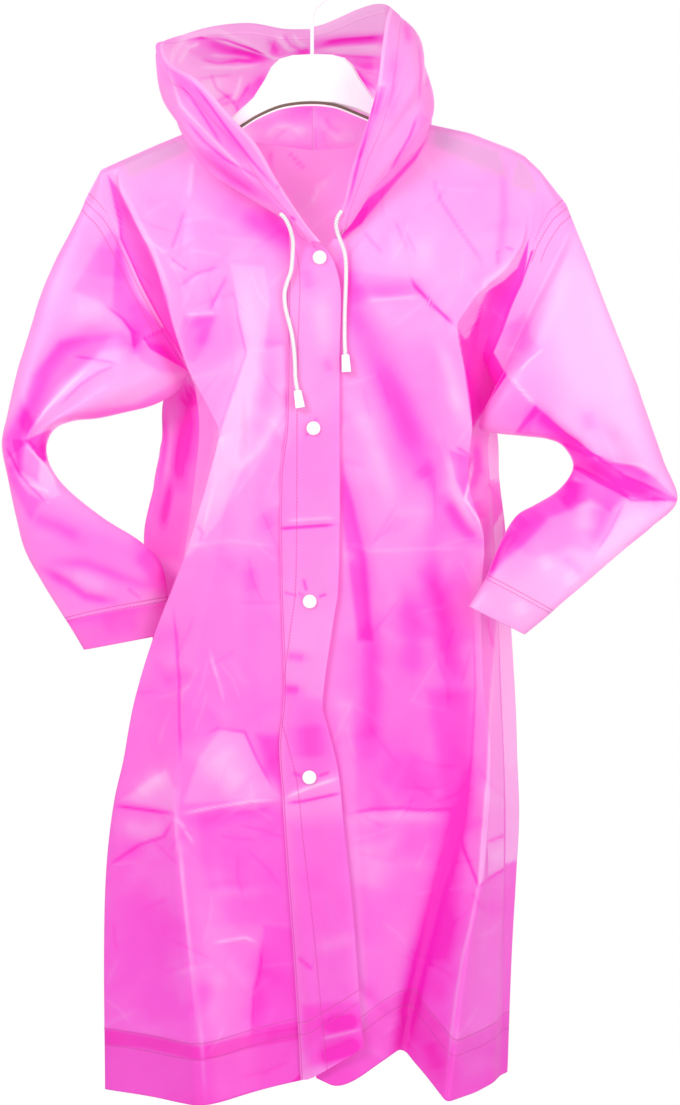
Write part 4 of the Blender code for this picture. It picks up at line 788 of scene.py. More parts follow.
leftCreases = (
    # the tuck in front of the armhole: painted deep as its shade, and deepest at its foot
    ("facet", 0, 2.5, 1.2, 529, 239, 518, 267, 505, 279.5, 487, 291, 481, 305, 478, 320, 466,
     340, 459, 330, 464, 366, 472, 428, 500, 388, 507, 375, 493, 360, 503, 330, 511.6, 305, 522,
     282, 527, 262),
    ("facet", 0, 3, 0.6, 493, 358, 507, 375, 490, 400, 478, 380, 484, 352),
    ("sharp", -0.8, 1.6, 0.5, 526, 262, 522, 282, 511.6, 305, 503, 330, 491, 360, 507, 375),
    ("sharp", -0.8, 1.6, 0.4, 479, 300, 476, 330, 471, 366, 473, 420),
    ("facet", 0, 60, -0.05, 430, 130, 530, 160, 560, 205, 515, 250, 480, 280, 450, 320, 380, 260),
    ("facet", 0, 6, 0.15, 487, 287, 458, 328, 464, 344, 479, 318, 484, 300),
    ("facet", 0, 26, 0.18, 345, 640, 470, 560, 482, 700, 478, 820, 440, 980, 400, 1040, 420, 880,
     440, 805, 352, 800),
    ("facet", 0, 40, 0.22, 380, 330, 450, 350, 455, 480, 400, 500),
    ("facet", 0, 8, 0.2, 345, 270, 420, 280, 426, 296, 350, 304),
    ("facet", 0, 16, 0.14, 372, 800, 446, 800, 440, 860, 372, 860),
    ("facet", 0, 20, -0.12, 480, 890, 510, 870, 512, 1070, 460, 1080),
    ("facet", 0, 24, -0.1, 440, 590, 500, 600, 480, 690, 400, 690),
    ("facet", 0, 16, 0.25, 428, 460, 470, 545, 478, 640, 440, 650, 428, 560),
    ("facet", 0, 2.5, -0.6, 497, 608, 524, 608, 524, 820, 514, 864, 478, 885, 482, 830, 486.6,
     778, 491, 696, 496, 631),
    ("facet", 0, 5, -0.1, 474, 600, 496, 620, 491, 696, 486, 778, 481, 840, 476, 876, 462, 826,
     471, 760, 474, 690),
    ("facet", 0, 3, 1.0, 428, 136, 417, 158, 398, 179, 378, 203, 362, 222, 344, 239, 336, 236,
     350, 214, 370, 196, 390, 180, 412, 157),
    ("facet", 0, 4, 0.5, 343, 234, 350, 218, 368, 206, 362, 224),
    ("facet", 0, 16, 0.35, 428, 690, 472, 690, 468, 800, 450, 960, 428, 960, 446, 815),
    ("facet", 0, 12, 0.0, 452, 860, 476, 890, 452, 1030, 446, 1090, 410, 1050),
    ("sharp", -0.6, 2.2, 0.25, 473, 620, 475, 690, 471, 760, 463, 826),
    ("facet", 0, 8, -0.2, 338, 700, 352, 700, 368, 1030, 352, 1030),
    ("facet", 0, 7, 0.6, 342, 464, 352, 500, 366, 560, 372, 640, 358, 640, 352, 590, 345, 540,
     339, 500),
    ("facet", 0, 3, 0.45, 449, 450, 472, 458, 470, 478, 464, 498, 456, 480),
    ("sharp", 0.9, 2, -0.7, 474, 458, 470, 478, 465, 499, 476, 516, 485, 531),
    ("sharp", -0.8, 2.2, 0.3, 430, 170, 442, 202, 457, 225, 480, 258, 485, 273),
    ("sharp", -0.7, 2, 0.3, 363, 230, 374, 243, 384, 254),
    ("sharp", -0.6, 2, 0.25, 395, 219, 402, 236, 408, 250),
    ("sharp", -0.5, 2, 0.2, 404, 229, 412, 244, 417, 256),
    ("shade", 0, 9, 0.4, 345, 255, 352, 288, 380, 291, 420, 288),
    ("sharp", 1.0, 2.2, -0.5, 363, 301, 392, 299, 423, 296),
    ("sharp", -2.0, 3.2, 0.9, 409, 275, 415, 286, 434, 306, 457, 328),
    ("soft", -1.8, 16, 0.7, 341, 271, 352, 310, 369, 345, 389, 386, 408, 429, 424, 466),
    ("soft", 1.2, 10, -0.35, 352, 400, 372, 440, 392, 500),
    ("soft", -1.8, 9, 0.35, 343, 468, 352, 502, 363, 538, 367, 574, 370, 614, 372, 660),
    ("soft", -0.8, 10, 0.45, 371, 640, 372, 690, 370, 750),
    ("sharp", 0.5, 2.4, -0.2, 339, 544, 356, 545, 370, 551, 419, 549, 470, 548),
    ("soft", 0.6, 6, -0.3, 345, 552, 354, 560),
    ("soft", -1.4, 14, 0.6, 425, 552, 431, 579, 441, 614, 449, 650, 452, 690),
    ("shade", 0, 14, 0.35, 412, 600, 415, 680),
    ("shade", 0, 10, 0.35, 420, 466, 428, 478),
    ("sharp", -0.8, 2, 0.35, 485, 286, 478, 322, 463, 334),
    ("soft", 0.9, 7, -0.4, 440, 345, 452, 380, 460, 420),
    ("soft", 1.2, 6, -0.45, 451, 450, 453, 485, 466, 512, 478, 530),
    ("soft", -1.6, 7, 0.7, 446, 500, 464, 528, 478, 543),
    ("sharp", -0.9, 2.2, 0.4, 455, 447, 464, 452, 472, 457),
    ("soft", -0.8, 5, 0.35, 504, 166, 504, 215, 499, 262),
    ("sharp", -0.9, 1.8, 0.4, 505, 247, 510, 248, 514, 251),
    ("sharp", -0.6, 1.8, 0.3, 498, 248, 498, 265),
    ("soft", 0.8, 4, -0.45, 514, 258, 500, 273, 486, 282, 479, 322),
    ("shade", 0, 6, 0.7, 477, 440, 478, 470, 470, 492),
    ("shade", 0, 8, -0.2, 489, 440, 490, 470),
    ("shade", 0, 9, 0.6, 474, 500, 482, 520),
    ("sharp", -0.9, 2.2, 0.4, 488, 482, 499, 496),
    ("shade", 0, 7, -0.5, 498, 530, 490, 560),
    ("sharp", -0.8, 2.2, 0.4, 487, 614, 490, 629, 495, 650),
    ("sharp", -1.1, 2.6, 0.5, 345, 814, 373, 809, 399, 808, 423, 810, 458, 809),
    ("soft", 0.9, 7, -0.45, 352, 819, 400, 815, 440, 817),
    ("shade", 0, 20, -0.45, 366, 838, 372, 868, 366, 890),
    ("shade", 0, 22, 0.3, 400, 770, 440, 790),
    ("sharp", -0.5, 2, 0.2, 362, 816, 384, 826),
    ("soft", -2.0, 8, 0.85, 457, 815, 451, 848, 440, 883, 429, 927, 418, 971, 409, 1013, 404,
     1044),
    ("sharp", -1.2, 2, 0.4, 443, 870, 430, 927, 419, 971, 410, 1013, 404, 1045),
    ("shade", 0, 15, 0.35, 455, 900, 443, 960, 432, 1010),
    ("sharp", 0.7, 2.0, -0.3, 496, 631, 491, 696, 486.6, 778, 482, 830, 478, 884, 470, 925, 462,
     956, 455, 1000, 450, 1040, 444, 1097),
    ("shade", 0, 8, 0.4, 470, 762, 466, 800, 460, 830),
    ("sharp", -0.9, 2.2, 0.5, 457, 833, 468, 861, 478, 885, 484, 883),
    ("sharp", -0.8, 2, 0.5, 485, 843, 518, 832),
    ("sharp", -0.9, 2, 0.5, 478, 885, 496, 874, 518, 864),
    ("shade", 0, 9, -0.3, 490, 860, 510, 850),
    ("shade", 0, 12, 0.4, 428, 1040, 440, 1070),
) + strayCreases(13, 130, (340, 150), (515, 1060), 60, 0.7)
backShowing = (  # where the back is seen from the front: beside the forearms and in the neck, painted paler where one layer is lit from behind and deeper where it is in shade
    ("facet", 0, 12, 0.34, 150, 380, 200, 380, 205, 440, 180, 560, 140, 560),
    ("facet", 0, 2.5, -0.95, 485, 580, 530, 580, 530, 832, 519, 862, 485, 872),
    ("facet", 0, 4, 1.5, 460, 380, 484, 380, 487, 440, 484, 480, 460, 500),
    ("facet", 0, 3, -0.9, 488, 425, 505, 425, 505, 480, 488, 480),
    ("facet", 0, 2, 0.3, 487, 482, 497, 488, 505, 506, 500, 514, 487, 530, 482, 520),
    ("facet", 0, 1.5, -1.8, 504, 512, 493, 530, 483, 560, 478, 582, 488, 582, 503, 545),
    ("facet", 0, 20, -1.1, 250, 135, 320, 135, 312, 215, 300, 215),
    ("facet", 0, 20, -0.85, 320, 135, 370, 135, 330, 235, 312, 215),
    ("sharp", -0.9, 4.5, 0.5, 504, 512, 493, 530, 482, 559),
    ("sharp", -1.2, 4.5, 0.6, 271, 152, 277, 172, 273, 196),
    ("sharp", 1.2, 4.5, -0.5, 290, 150, 298, 162, 294, 180),
    ("sharp", -1.2, 4.5, 0.6, 288, 150, 298, 158, 310, 168),
    ("sharp", -1.2, 4.5, 0.6, 326, 152, 318, 166, 330, 180, 322, 200),
    ("sharp", 1.1, 4.5, -0.5, 338, 156, 330, 168, 316, 176, 310, 196),
    ("shade", 0, 12, 0.35, 190, 392, 188, 430, 182, 470),
    ("sharp", -1.0, 4.5, 0.7, 196, 388, 186, 402, 178, 396),
    ("sharp", -1.2, 4.5, 0.8, 187, 398, 182, 440, 176, 470, 166, 505, 156, 538),
    ("sharp", -0.9, 4.5, 0.5, 166, 402, 164, 440, 158, 490, 150, 530),
    ("soft", -1.4, 7, 0.6, 189, 407, 184, 434, 178, 466, 180, 487),
    ("sharp", -0.8, 4.5, 0.4, 173, 474, 165, 502, 157, 531),
    ("sharp", 0.7, 4.5, -0.3, 176, 472, 166, 505, 153, 539),
    ("soft", 0.8, 5, -0.35, 168, 418, 166, 450, 162, 478),
    ("sharp", -1, 4.5, 0.6, 184, 384, 192, 392),
    ("sharp", -1, 4.5, 0.6, 178, 391, 195, 399),
    ("sharp", -1, 4.5, 0.5, 186, 396, 197, 404),
    ("shade", 0, 8, -0.5, 507, 640, 510, 700, 512, 760),
)
backCreases = (
    ("sharp", -0.8, 4.5, 0.35, 269, 145, 271, 160, 273, 175),
    ("sharp", -0.9, 4.5, 0.4, 287, 147, 296, 157, 306, 166),
    ("sharp", 0.8, 4.5, -0.3, 328, 175, 317, 183, 313, 202),
    # the packing folds run right through the coat
    ("sharp", -1.0, 4.5, 0.3, 190, 549, 250, 543, 312, 547, 390, 550, 470, 546),
    ("sharp", 1.2, 4.5, -0.3, 120, 812, 200, 806, 300, 812, 400, 806, 510, 814),
    ("sharp", 1.0, 4.5, -0.25, 232, 230, 236, 380, 228, 545, 232, 700, 226, 812, 222, 1060),
    ("sharp", -1.0, 4.5, 0.25, 398, 220, 392, 380, 402, 545, 396, 700, 404, 812, 408, 1050),
) + strayCreases(7, 80, (120, 180), (490, 1060), 110, 1.5)


def closeShoulder(grid):  # the shoulder's edge lies in the hanger's plane
    top = np.abs(grid[0, :, 2]) < bodyCloth["shoulderDepth"]
    fade = 1 - smooth((grid[..., 1] - grid[:1, :, 1]) / bodyCloth["shoulderReach"])
    grid = grid.copy()
    grid[..., 2] *= np.where(top[None, :], 1 - fade, 1)
    return grid


def layPanel(name, node, folds, step, seams, creases, facing, showing=()):
    # seams: the front's and the back's fold line at the first and at the last column, or None
    look = bodyCloth
    height = folds[0][2][-1][0] - folds[0][2][0][0]
    fractions = np.linspace(0, 1, int(height / step))
    grid = closeShoulder(panelGrid(folds, spacedStops(folds, step), fractions))
    for first, edges in zip((True, False), seams):
        if edges:
            front, behind = (readRows(edge[2], fractions) for edge in edges)
            drawn = smooth((front[:, 1] - look["underarm"]) / look["seamFade"])
            turned = grid if first else grid[:, ::-1]
            turned = carryEdge(turned, (front + behind) / 2, drawn, look["seamReach"])
            grid = turned if first else turned[:, ::-1]
    square = squareTo(grid, facing)
    towards = square[..., 2] if showing else -square[..., 2]
    across, down = clothLengths(grid)
    edge = np.minimum(across, across[:, -1:] - across)
    easy = smooth(edge / look["calmSides"]) * smooth(down / look["calmTop"])
    rise, tone = drawCreases(grid, creases, turnedShare(towards, 0.3))
    shownRise, shownTone = drawCreases(grid, showing, turnedShare(-towards, 0.1))
    fromHem = down[-1:] - down
    # painted shadow of the hanger's arms seen through the shoulders
    hangerShadow = sum(insideOutline(grid[..., :2].reshape(-1, 2), outline, softness)
               for softness, outline in hangerSeen).reshape(down.shape) * (towards > 0)
    tone = tone + shownTone + look["hemTone"] * smooth((look["hem"] - fromHem) / look["hemEdge"])
    tone = tone + np.interp(grid[..., 1], look["levels"], look["tones"])
    fromSeam = np.full(grid.shape[:2], noSeam)
    if seams[0]:
        fromSeam = np.minimum(fromSeam, across)
    if seams[1]:
        fromSeam = np.minimum(fromSeam, across[:, -1:] - across)
    fromSeam[grid[..., 1] > look["underarm"]] = noSeam
    top = grid + square * ((rise + shownRise) * easy)[..., None]
    marks = {"tone": tone, "fromHem": fromHem, "fromSeam": fromSeam, "hangerShadow": hangerShadow}
    grid, marks = turnedUp(top, marks, squareTo(top, facing), look["hem"], look["turnGap"])
    piece = addCloth(name, grid, marks, bodyFilm, facing)
    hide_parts(node)
    print("coat:", name, grid.shape)
    return piece, top


hangerSeen = (  # the hanger's arms where they show through the shoulders, painted as their shadow in the film: softness, outline
    (7, ((122, 161), (150, 149), (184, 136), (190, 149), (160, 163), (130, 176))),
    (8, ((436, 128), (470, 140), (500, 150), (508, 176), (480, 166), (450, 152), (432, 142))),
    (2, ((519, 158), (527, 166), (535, 178), (537, 192), (512, 184))),
)


frontRightPiece, rightGrid = layPanel("front_right_film", "front_right", rightFront, 1.85,
                                      (None, (rightFront[-1], back[0])),
                                      rightCreases, 1)
frontLeftPiece, leftGrid = layPanel("front_left_film", "front_left", leftFront, 1.95,
                                    (None, (leftFront[-1], back[-1])),
                                    leftCreases, -1)
backPiece, backGrid = layPanel("back_film", "back", back, 3.5,
                               ((rightFront[-1], back[0]), (leftFront[-1], back[-1])),
                               backCreases, 1, backShowing)


placketLook = {"lap": (0.25, 0.02), "top": 0.006, "lift": 2.3, "columns": 42, "rows": 500,
               "calmSides": 4.0}

placket = foldLines(
    ("snap line", 14, 238, 312, -28, 320, 320, -33.6, 430, 318, -37.6, 520, 318, -39.6, 600, 315,
     -41.6, 700, 310, -43.2, 777, 314, -44.8, 892, 328, -47, 1000, 340, -48.8, 1058, 345, -50),
    ("free edge", 3, 247, 325, -27.6, 262, 334, -30, 290, 340.5, -32.6, 353, 339.5, -35.4, 430,
     339.5, -38, 520, 339.5, -40.6, 590, 338, -42.6, 623, 333, -43, 705, 322.5, -43.4, 728, 328,
     -44, 770, 338, -44.8, 830, 344, -46, 914, 353, -47.4, 1020, 361, -48.8, 1046, 363.5, -49.6))
placketCreases = (
    ("facet", 0, 30, -0.2, 285, 262, 345, 262, 345, 400, 285, 440),
    ("facet", 0, 14, -0.06, 285, 545, 338, 545, 338, 655, 285, 655),
    ("facet", 0, 12, 0.26, 283, 690, 325, 700, 340, 770, 284, 796),
    ("facet", 0, 30, 0.4, 285, 820, 350, 815, 365, 1050, 300, 1050),
    ("soft", 0.8, 10, -0.35, 322, 300, 324, 350),
    ("shade", 0, 8, 0.35, 304, 268, 310, 290),
    ("soft", -0.6, 5, 0.3, 326, 360, 330, 372),
    ("sharp", -0.7, 1.8, 0.3, 304, 438, 311, 430, 318, 416),
    ("sharp", -1.2, 2, 0.75, 274, 529, 296, 527.5, 338, 524.6),
    ("sharp", 0.8, 2.4, -0.35, 285, 521, 312, 519, 337, 518),
    ("sharp", -0.9, 1.8, 0.5, 303, 578, 307, 592),
    ("sharp", -0.9, 1.8, 0.5, 318, 597, 327, 594),
    ("sharp", -0.7, 1.8, 0.35, 283, 592, 298, 596),
    ("sharp", -0.6, 1.8, 0.35, 298, 592, 304, 597),
    ("soft", -0.9, 5, 0.5, 287, 655, 305, 658),
    ("soft", -1.2, 5, 0.7, 283, 688, 300, 690),
    ("shade", 0, 16, 0.5, 308, 722, 312, 760),
    ("sharp", 1.4, 3, -0.7, 284, 798, 307, 788, 340, 777),
    ("sharp", -1.2, 2.2, 0.7, 284, 803, 302, 801, 344, 792),
    ("sharp", -0.8, 1.8, 0.4, 292, 772, 301, 776),
    ("sharp", -0.8, 1.8, 0.4, 318, 776, 330, 772),
    ("soft", 0.5, 8, -0.25, 318, 948, 352, 936),
    ("sharp", -0.7, 2, 0.35, 297, 956, 313, 969),
    ("sharp", 1.1, 2.4, -0.5, 320, 1038, 362, 1028),
    ("shade", 0, 7, 0.8, 326, 1024, 358, 1020),
    ("shade", 0, 9, 0.9, 318, 1058, 340, 1052, 360, 1044),
    ("facet", 0, 10, 0.3, 302, 1005, 365, 1000, 365, 1050, 302, 1070),
)


def layPlacket():
    look = placketLook
    fractions = np.linspace(0, 1, look["rows"])
    under = [panelGrid(rightFront, [stop], look["top"] + (1 - look["top"]) * fractions)[:, 0]
             - np.array([0, 0, look["lift"]]) for stop in look["lap"]]
    lines = np.array(under + list(panelGrid(placket, (0, 0.5, 1), fractions).transpose(1, 0, 2)))
    wide = np.linalg.norm(np.diff(lines, axis=0), axis=2).mean(axis=1)
    stops = np.interp(np.linspace(0, wide.sum(), look["columns"]),
                      np.concatenate([[0], np.cumsum(wide)]), np.arange(len(lines)))
    grid = throughPoints(lines, stops).transpose(1, 0, 2)
    square = squareTo(grid, -1)
    across, down = clothLengths(grid)
    fromEdge = across[:, -1:] - across
    easy = smooth(np.minimum(across, fromEdge) / look["calmSides"])
    rise, tone = drawCreases(grid, placketCreases, np.ones(grid.shape[:2]))
    grid = grid + square * (rise * easy)[..., None]
    marks = {"tone": tone, "fromHem": fromEdge, "fromFoot": down[-1:] - down, "fromSeam": across,
             "hangerShadow": 0 * down}
    piece = addCloth("placket_film", grid, marks, bandFilm, -1)
    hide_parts("placket")
    return piece, grid


placketPiece, placketGrid = layPlacket()
print("coat: body laid")


sleeveCloth = {"rows": 270, "around": 200, "cuff": 35.0, "turnGap": 1.0, "cuffTone": 0.12,
               "hemEdge": 3.0, "fullness": 0.8, "folds": ((0.8, 0.13), (0.5, 0.12)),
               "shoulderShare": 0.02, "calmTop": 14.0, "calmHem": 4.0,
               "stray": (26, (20, 220), (660, 640), 60, 1.1)}

rightSleeve = (
    (79, 211, 184, 380, -1, 17, 0),
    (68, 233, 179, 388, -4, 19, 2),
    (55, 258, 168, 397, -7, 20, 5),
    (41, 291, 149, 406, -10, 20, 8),
    (29, 328, 125, 412, -12, 20, 9),
    (17, 368, 98, 418, -13, 20, 9),
    (7, 412, 72, 421, -14, 20, 7),
    (1, 444, 54, 429, -14, 19, 4),
    (7, 478, 46, 447, -14, 18, 0),
    (15, 516, 51, 468, -13, 18, 0),
    (24, 550, 68, 490, -12, 17, 0),
    (40, 580, 103, 518, -11, 16, 0),
    (54, 603, 138, 540, -10, 14, 0),
    (68, 625, 160, 562, -10, 12, 0),
    (76, 638, 167, 594, -10, 11, 0),
    (83, 650, 167, 634, -10, 10, 0),
)
leftSleeve = (
    (573, 217, 495, 388, 1, 13, 0),
    (580, 236, 485, 408, -9, 13, 0),
    (591, 264, 480, 428, -16, 16, 0),
    (603, 296, 497, 433, -18, 20, 0),
    (617, 332, 524, 436, -20, 21, 0),
    (632, 370, 548, 439, -22, 22, 2),
    (647, 412, 563, 446, -23, 22, 5),
    (664, 460, 573, 462, -20, 20, 6),
    (678, 500, 570, 476, -18, 15, 0),
    (652, 527, 556, 492, -24, 18, 0),
    (626, 548, 536, 504, -32, 18, 0),
    (600, 570, 516, 516, -42, 17, 0),
    (579, 588, 500, 542, -52, 15, 0),
    (562, 602, 487, 574, -60, 13, 0),
    (545, 617, 478, 590, -65, 12, 0),
    (524, 634, 468, 606, -68, 10, 0),
)
rightSleeveCreases = (
    # two thicknesses lie over each other below the shoulder, and again in the crook, painted deeper
    # for the doubled film and for its shade
    ("facet", 0, 7, 0.28, 110, 230, 120, 236, 122, 262, 133, 290, 163, 328, 134, 345, 130, 333,
     104, 304, 72, 290, 90, 260, 102, 238),
    ("facet", 0, 6, 0.42, 116, 236, 140, 300, 163, 328, 148, 336, 134, 344, 131, 330, 112, 306),
    ("facet", 0, 2.5, 0.9, 143, 338, 165, 326, 187, 370, 150, 349),
    ("facet", 0, 6, -0.05, 150, 349, 187, 372, 166, 386, 136, 402, 60, 412, 22, 438, 46, 409, 91,
     365),
    ("facet", 0, 5, 0.2, 188, 374, 166, 388, 136, 404, 70, 416, 60, 424, 136, 412, 168, 398, 190,
     392),
    ("facet", 0, 30, 0.42, 6, 470, 60, 500, 140, 545, 176, 580, 164, 604, 66, 622, 20, 545),
    ("facet", 0, 14, 0.2, 134, 540, 150, 538, 178, 578, 164, 600, 136, 562),
    ("facet", 0, 3, 0.8, 25, 440, 51, 429, 54, 444, 44, 463),
    ("facet", 0, 5, 0.55, 12, 440, 24, 440, 40, 462, 38, 482, 18, 470),
    ("facet", 0, 7, 0.3, 2, 450, 14, 466, 22, 484, 42, 500, 30, 520, 8, 480),
    ("facet", 0, 10, 0.55, 2, 440, 20, 400, 36, 425, 24, 440, 20, 474, 10, 470),
    ("facet", 0, 10, 0.5, 60, 340, 122, 331, 134, 345, 100, 352, 60, 384, 28, 436, 18, 420, 32,
     374),
    ("facet", 0, 3, 0.5, 66, 620, 164, 602, 160, 640, 84, 652),
    ("facet", 0, 3, -0.3, 5, 460, 25, 444, 44, 463, 60, 494, 48, 503, 28, 494),
    ("shade", 0, 20, 0.4, 112, 244, 106, 280),
    ("shade", 0, 10, 0.25, 132, 300, 145, 318, 148, 330),
    ("soft", 0.8, 14, -0.3, 76, 310, 104, 306),
    ("sharp", -1.0, 2.2, 0.45, 104, 304, 122, 318, 133, 332, 135, 352),
    ("soft", -1.8, 7, 0.6, 133, 328, 136, 342, 132, 356),
    ("soft", -2.2, 10, 0.5, 122, 331, 88, 334, 61, 347, 46, 369, 36, 398, 28, 418, 16, 438, 17,
     462, 19, 474),
    ("sharp", -0.8, 2, 0.35, 72, 356, 96, 359, 120, 363),
    ("sharp", 1.4, 3, -0.5, 91, 365, 68, 386, 46, 409, 26, 439),
    ("sharp", -1.0, 2.4, 0.35, 120, 363, 98, 372, 80, 384, 58, 406),
    ("soft", 1.4, 12, -0.05, 160, 370, 130, 382, 98, 396),
    ("facet", 0, 8, 0.4, 134, 340, 165, 345, 187, 372, 160, 372, 140, 360),
    ("shade", 0, 7, 0.4, 172, 390, 136, 409, 100, 415, 62, 425),
    ("sharp", -0.9, 2, 0.5, 73, 419, 64, 424, 55, 428),
    ("shade", 0, 9, 0.7, 40, 446, 46, 452),
    ("sharp", -1.4, 2.4, 0.6, 25, 439, 36, 450, 46, 462),
    ("sharp", 1.2, 3, -0.4, 25, 444, 45, 466, 57, 486),
    ("sharp", -1.2, 2.6, 0.5, 2, 443, 12, 460, 19, 474, 31, 487, 44, 500, 56, 498),
    ("sharp", 0.9, 2, -0.4, 27, 483, 44, 490, 50, 493),
    ("soft", -1.0, 8, 0.4, 30, 516, 56, 526, 82, 539),
    ("soft", -1.0, 6, 0.35, 54, 562, 86, 564, 119, 577, 158, 590),
    ("soft", -1.4, 5, 0.55, 42, 570, 67, 583, 84, 596, 114, 602),
    ("soft", 0.9, 8, -0.3, 70, 574, 106, 588),
    ("sharp", -0.6, 2.4, 0.25, 126, 587, 142, 600),
    ("shade", 0, 14, 0.6, 142, 546, 158, 564, 166, 586),
    ("shade", 0, 12, 0.2, 100, 630, 140, 622),
)
leftSleeveCreases = (
    ("facet", 0, 50, -0.4, 575, 240, 676, 500, 560, 420, 550, 330),
    ("facet", 0, 3, 1.5, 534, 250, 522, 284, 511, 306, 503, 330, 494, 352, 507, 375, 490, 400,
     474, 428, 462, 428, 470, 380, 478, 330, 500, 290, 520, 250),
    ("facet", 0, 7, 0.25, 526, 310, 531, 338, 544, 349, 520, 367, 507, 374, 494, 358, 503, 328),
    ("facet", 0, 3, 0.35, 507, 376, 540, 411, 520, 432, 472, 429),
    ("facet", 0, 3, 0.6, 535, 405, 560, 431, 584, 450, 602, 458, 586, 456, 561, 445, 544, 437,
     515, 433, 524, 420),
    ("facet", 0, 2.5, 0.45, 584, 450, 602, 457, 616, 462, 636, 466, 655, 478, 678, 499, 625, 477),
    ("facet", 0, 3, 0.75, 561, 444, 586, 452, 625, 478, 678, 499, 676, 502, 628, 497, 600, 484,
     570, 467),
    ("facet", 0, 8, 0.6, 570, 467, 600, 480, 626, 495, 610, 512, 590, 500, 575, 508, 548, 518,
     530, 538, 505, 560, 488, 577, 503, 536, 515, 514, 545, 499, 560, 488),
    ("facet", 0, 10, 0.2, 608, 509, 600, 535, 592, 553, 570, 547, 540, 560, 516, 548, 548, 518,
     575, 508),
    ("facet", 0, 6, -0.3, 626, 500, 677, 502, 655, 524, 596, 556, 608, 532),
    ("facet", 0, 30, -0.3, 500, 580, 640, 520, 600, 600, 520, 640, 465, 605),
    ("shade", 0, 40, -0.35, 560, 250, 600, 340, 630, 400),
    ("soft", -1.4, 16, 0.35, 514, 318, 520, 340, 514, 352),
    ("sharp", 1.0, 2.2, -0.4, 546, 347, 530, 360, 518, 373),
    ("sharp", 1.2, 2.4, -0.45, 509, 376, 522, 391, 535, 406),
    ("shade", 0, 14, 0.3, 520, 420, 534, 424),
    ("soft", -2.2, 8, 0.8, 536, 410, 550, 426, 566, 440, 584, 452),
    ("sharp", -1.6, 2.4, 0.6, 534, 404, 563, 434, 586, 450, 625, 477, 649, 487, 677, 499),
    ("shade", 0, 8, 0.7, 586, 458, 620, 482, 655, 494),
    ("soft", -1.2, 5, 0.55, 604, 462, 632, 469, 654, 480),
    ("sharp", 0.8, 2, -0.3, 602, 460, 641, 465, 656, 475),
    ("sharp", -1.6, 2.2, 0.6, 559, 444, 568, 462, 572, 466, 616, 489, 631, 500, 676, 500),
    ("soft", -1.2, 12, 0.8, 574, 476, 572, 496, 560, 505),
    ("shade", 0, 11, 0.5, 545, 510, 524, 530, 509, 548),
    ("soft", 1.2, 10, -0.4, 583, 500, 584, 532),
    ("soft", 0.9, 8, -0.35, 540, 554, 548, 570),
    ("soft", 0.9, 8, -0.35, 565, 572, 574, 585),
    ("shade", 0, 12, 0.45, 608, 506, 602, 530, 592, 545),
    ("sharp", -1.0, 2.4, 0.35, 625, 500, 609, 532, 595, 553),
    ("soft", 1.0, 12, -0.35, 630, 522, 606, 556),
    ("soft", -0.8, 5, 0.3, 561, 557, 574, 566, 582, 574),
    ("shade", 0, 9, 0.25, 580, 414, 600, 428, 624, 440),
    ("shade", 0, 9, 0.25, 586, 410, 592, 432),
    ("shade", 0, 7, 0.3, 650, 502, 668, 503),
    ("shade", 0, 8, 0.35, 512, 527, 524, 516),
    ("shade", 0, 5, 1.0, 512, 534, 500, 552, 487, 576),
    ("soft", 0.7, 9, -0.3, 516, 600, 522, 616),
)


def sleeveRings(sections, turn, share):
    # rounded flat rings, with a fold in and a fold out on the side towards the body
    look = sleeveCloth
    sections = np.array(sections, dtype=float)
    wave = np.sign(np.sin(turn)) * np.abs(np.sin(turn)) ** look["fullness"]
    bumps = [np.exp(-((share - middle) / breadth) ** 2) for middle, breadth in look["folds"]]
    inner = np.where(turn < math.pi, bumps[0] - bumps[1], 0)
    across = sections[:, :1] + (sections[:, 2:3] - sections[:, :1]) * share
    down = sections[:, 1:2] + (sections[:, 3:4] - sections[:, 1:2]) * share
    depth = sections[:, 4:5] - (sections[:, 5:6] * wave + sections[:, 6:7] * inner)
    return np.stack([across, down, depth], axis=-1)


def laySleeve(name, node, frontRows, backRows, underarm, sections, creases, facing, seamShows):
    # seamShows: how far down the armhole's seam lies flat enough to be seen
    look = sleeveCloth
    turn = 2 * math.pi * np.arange(look["around"]) / look["around"]
    share = (1 - np.cos(turn)) / 2
    levels = frontRows[0][0] + (underarm - frontRows[0][0]) * share
    front, behind = readFold(frontRows, levels), readFold(backRows, levels)
    start = np.where((turn <= math.pi)[:, None], front, behind)
    start[:, 2] *= smooth(share / look["shoulderShare"] + 0.3)
    rings = np.concatenate([start[None], sleeveRings(sections, turn, share)])
    grid = throughPoints(rings, np.linspace(0, len(rings) - 1, look["rows"]))
    square = squareTo(grid, facing, closed=True)
    across, down = clothLengths(grid)
    fromHem = down[-1:] - down
    easy = smooth(down / look["calmTop"]) * smooth(fromHem / look["calmHem"] + 0.4)
    shown = turnedShare(-square[..., 2], 0.2)
    rise, tone = drawCreases(grid, creases, shown)
    behindRise, behindTone = drawCreases(grid, strayCreases(len(name), *look["stray"]), 1 - shown)
    tone = tone + behindTone + look["cuffTone"] * smooth((look["cuff"] - fromHem) / look["hemEdge"])
    grid = grid + square * ((rise + behindRise) * easy)[..., None]
    fromSeam = np.where(grid[..., 1] > seamShows, noSeam, down)
    marks = {"tone": tone, "fromHem": fromHem, "fromSeam": fromSeam, "hangerShadow": 0 * down}
    grid, marks = turnedUp(grid, marks, squareTo(grid, facing, closed=True), look["cuff"],
                           look["turnGap"])
    piece = addCloth(name, grid, marks, sleeveFilm, facing, closed=True)
    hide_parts(node)
    return piece


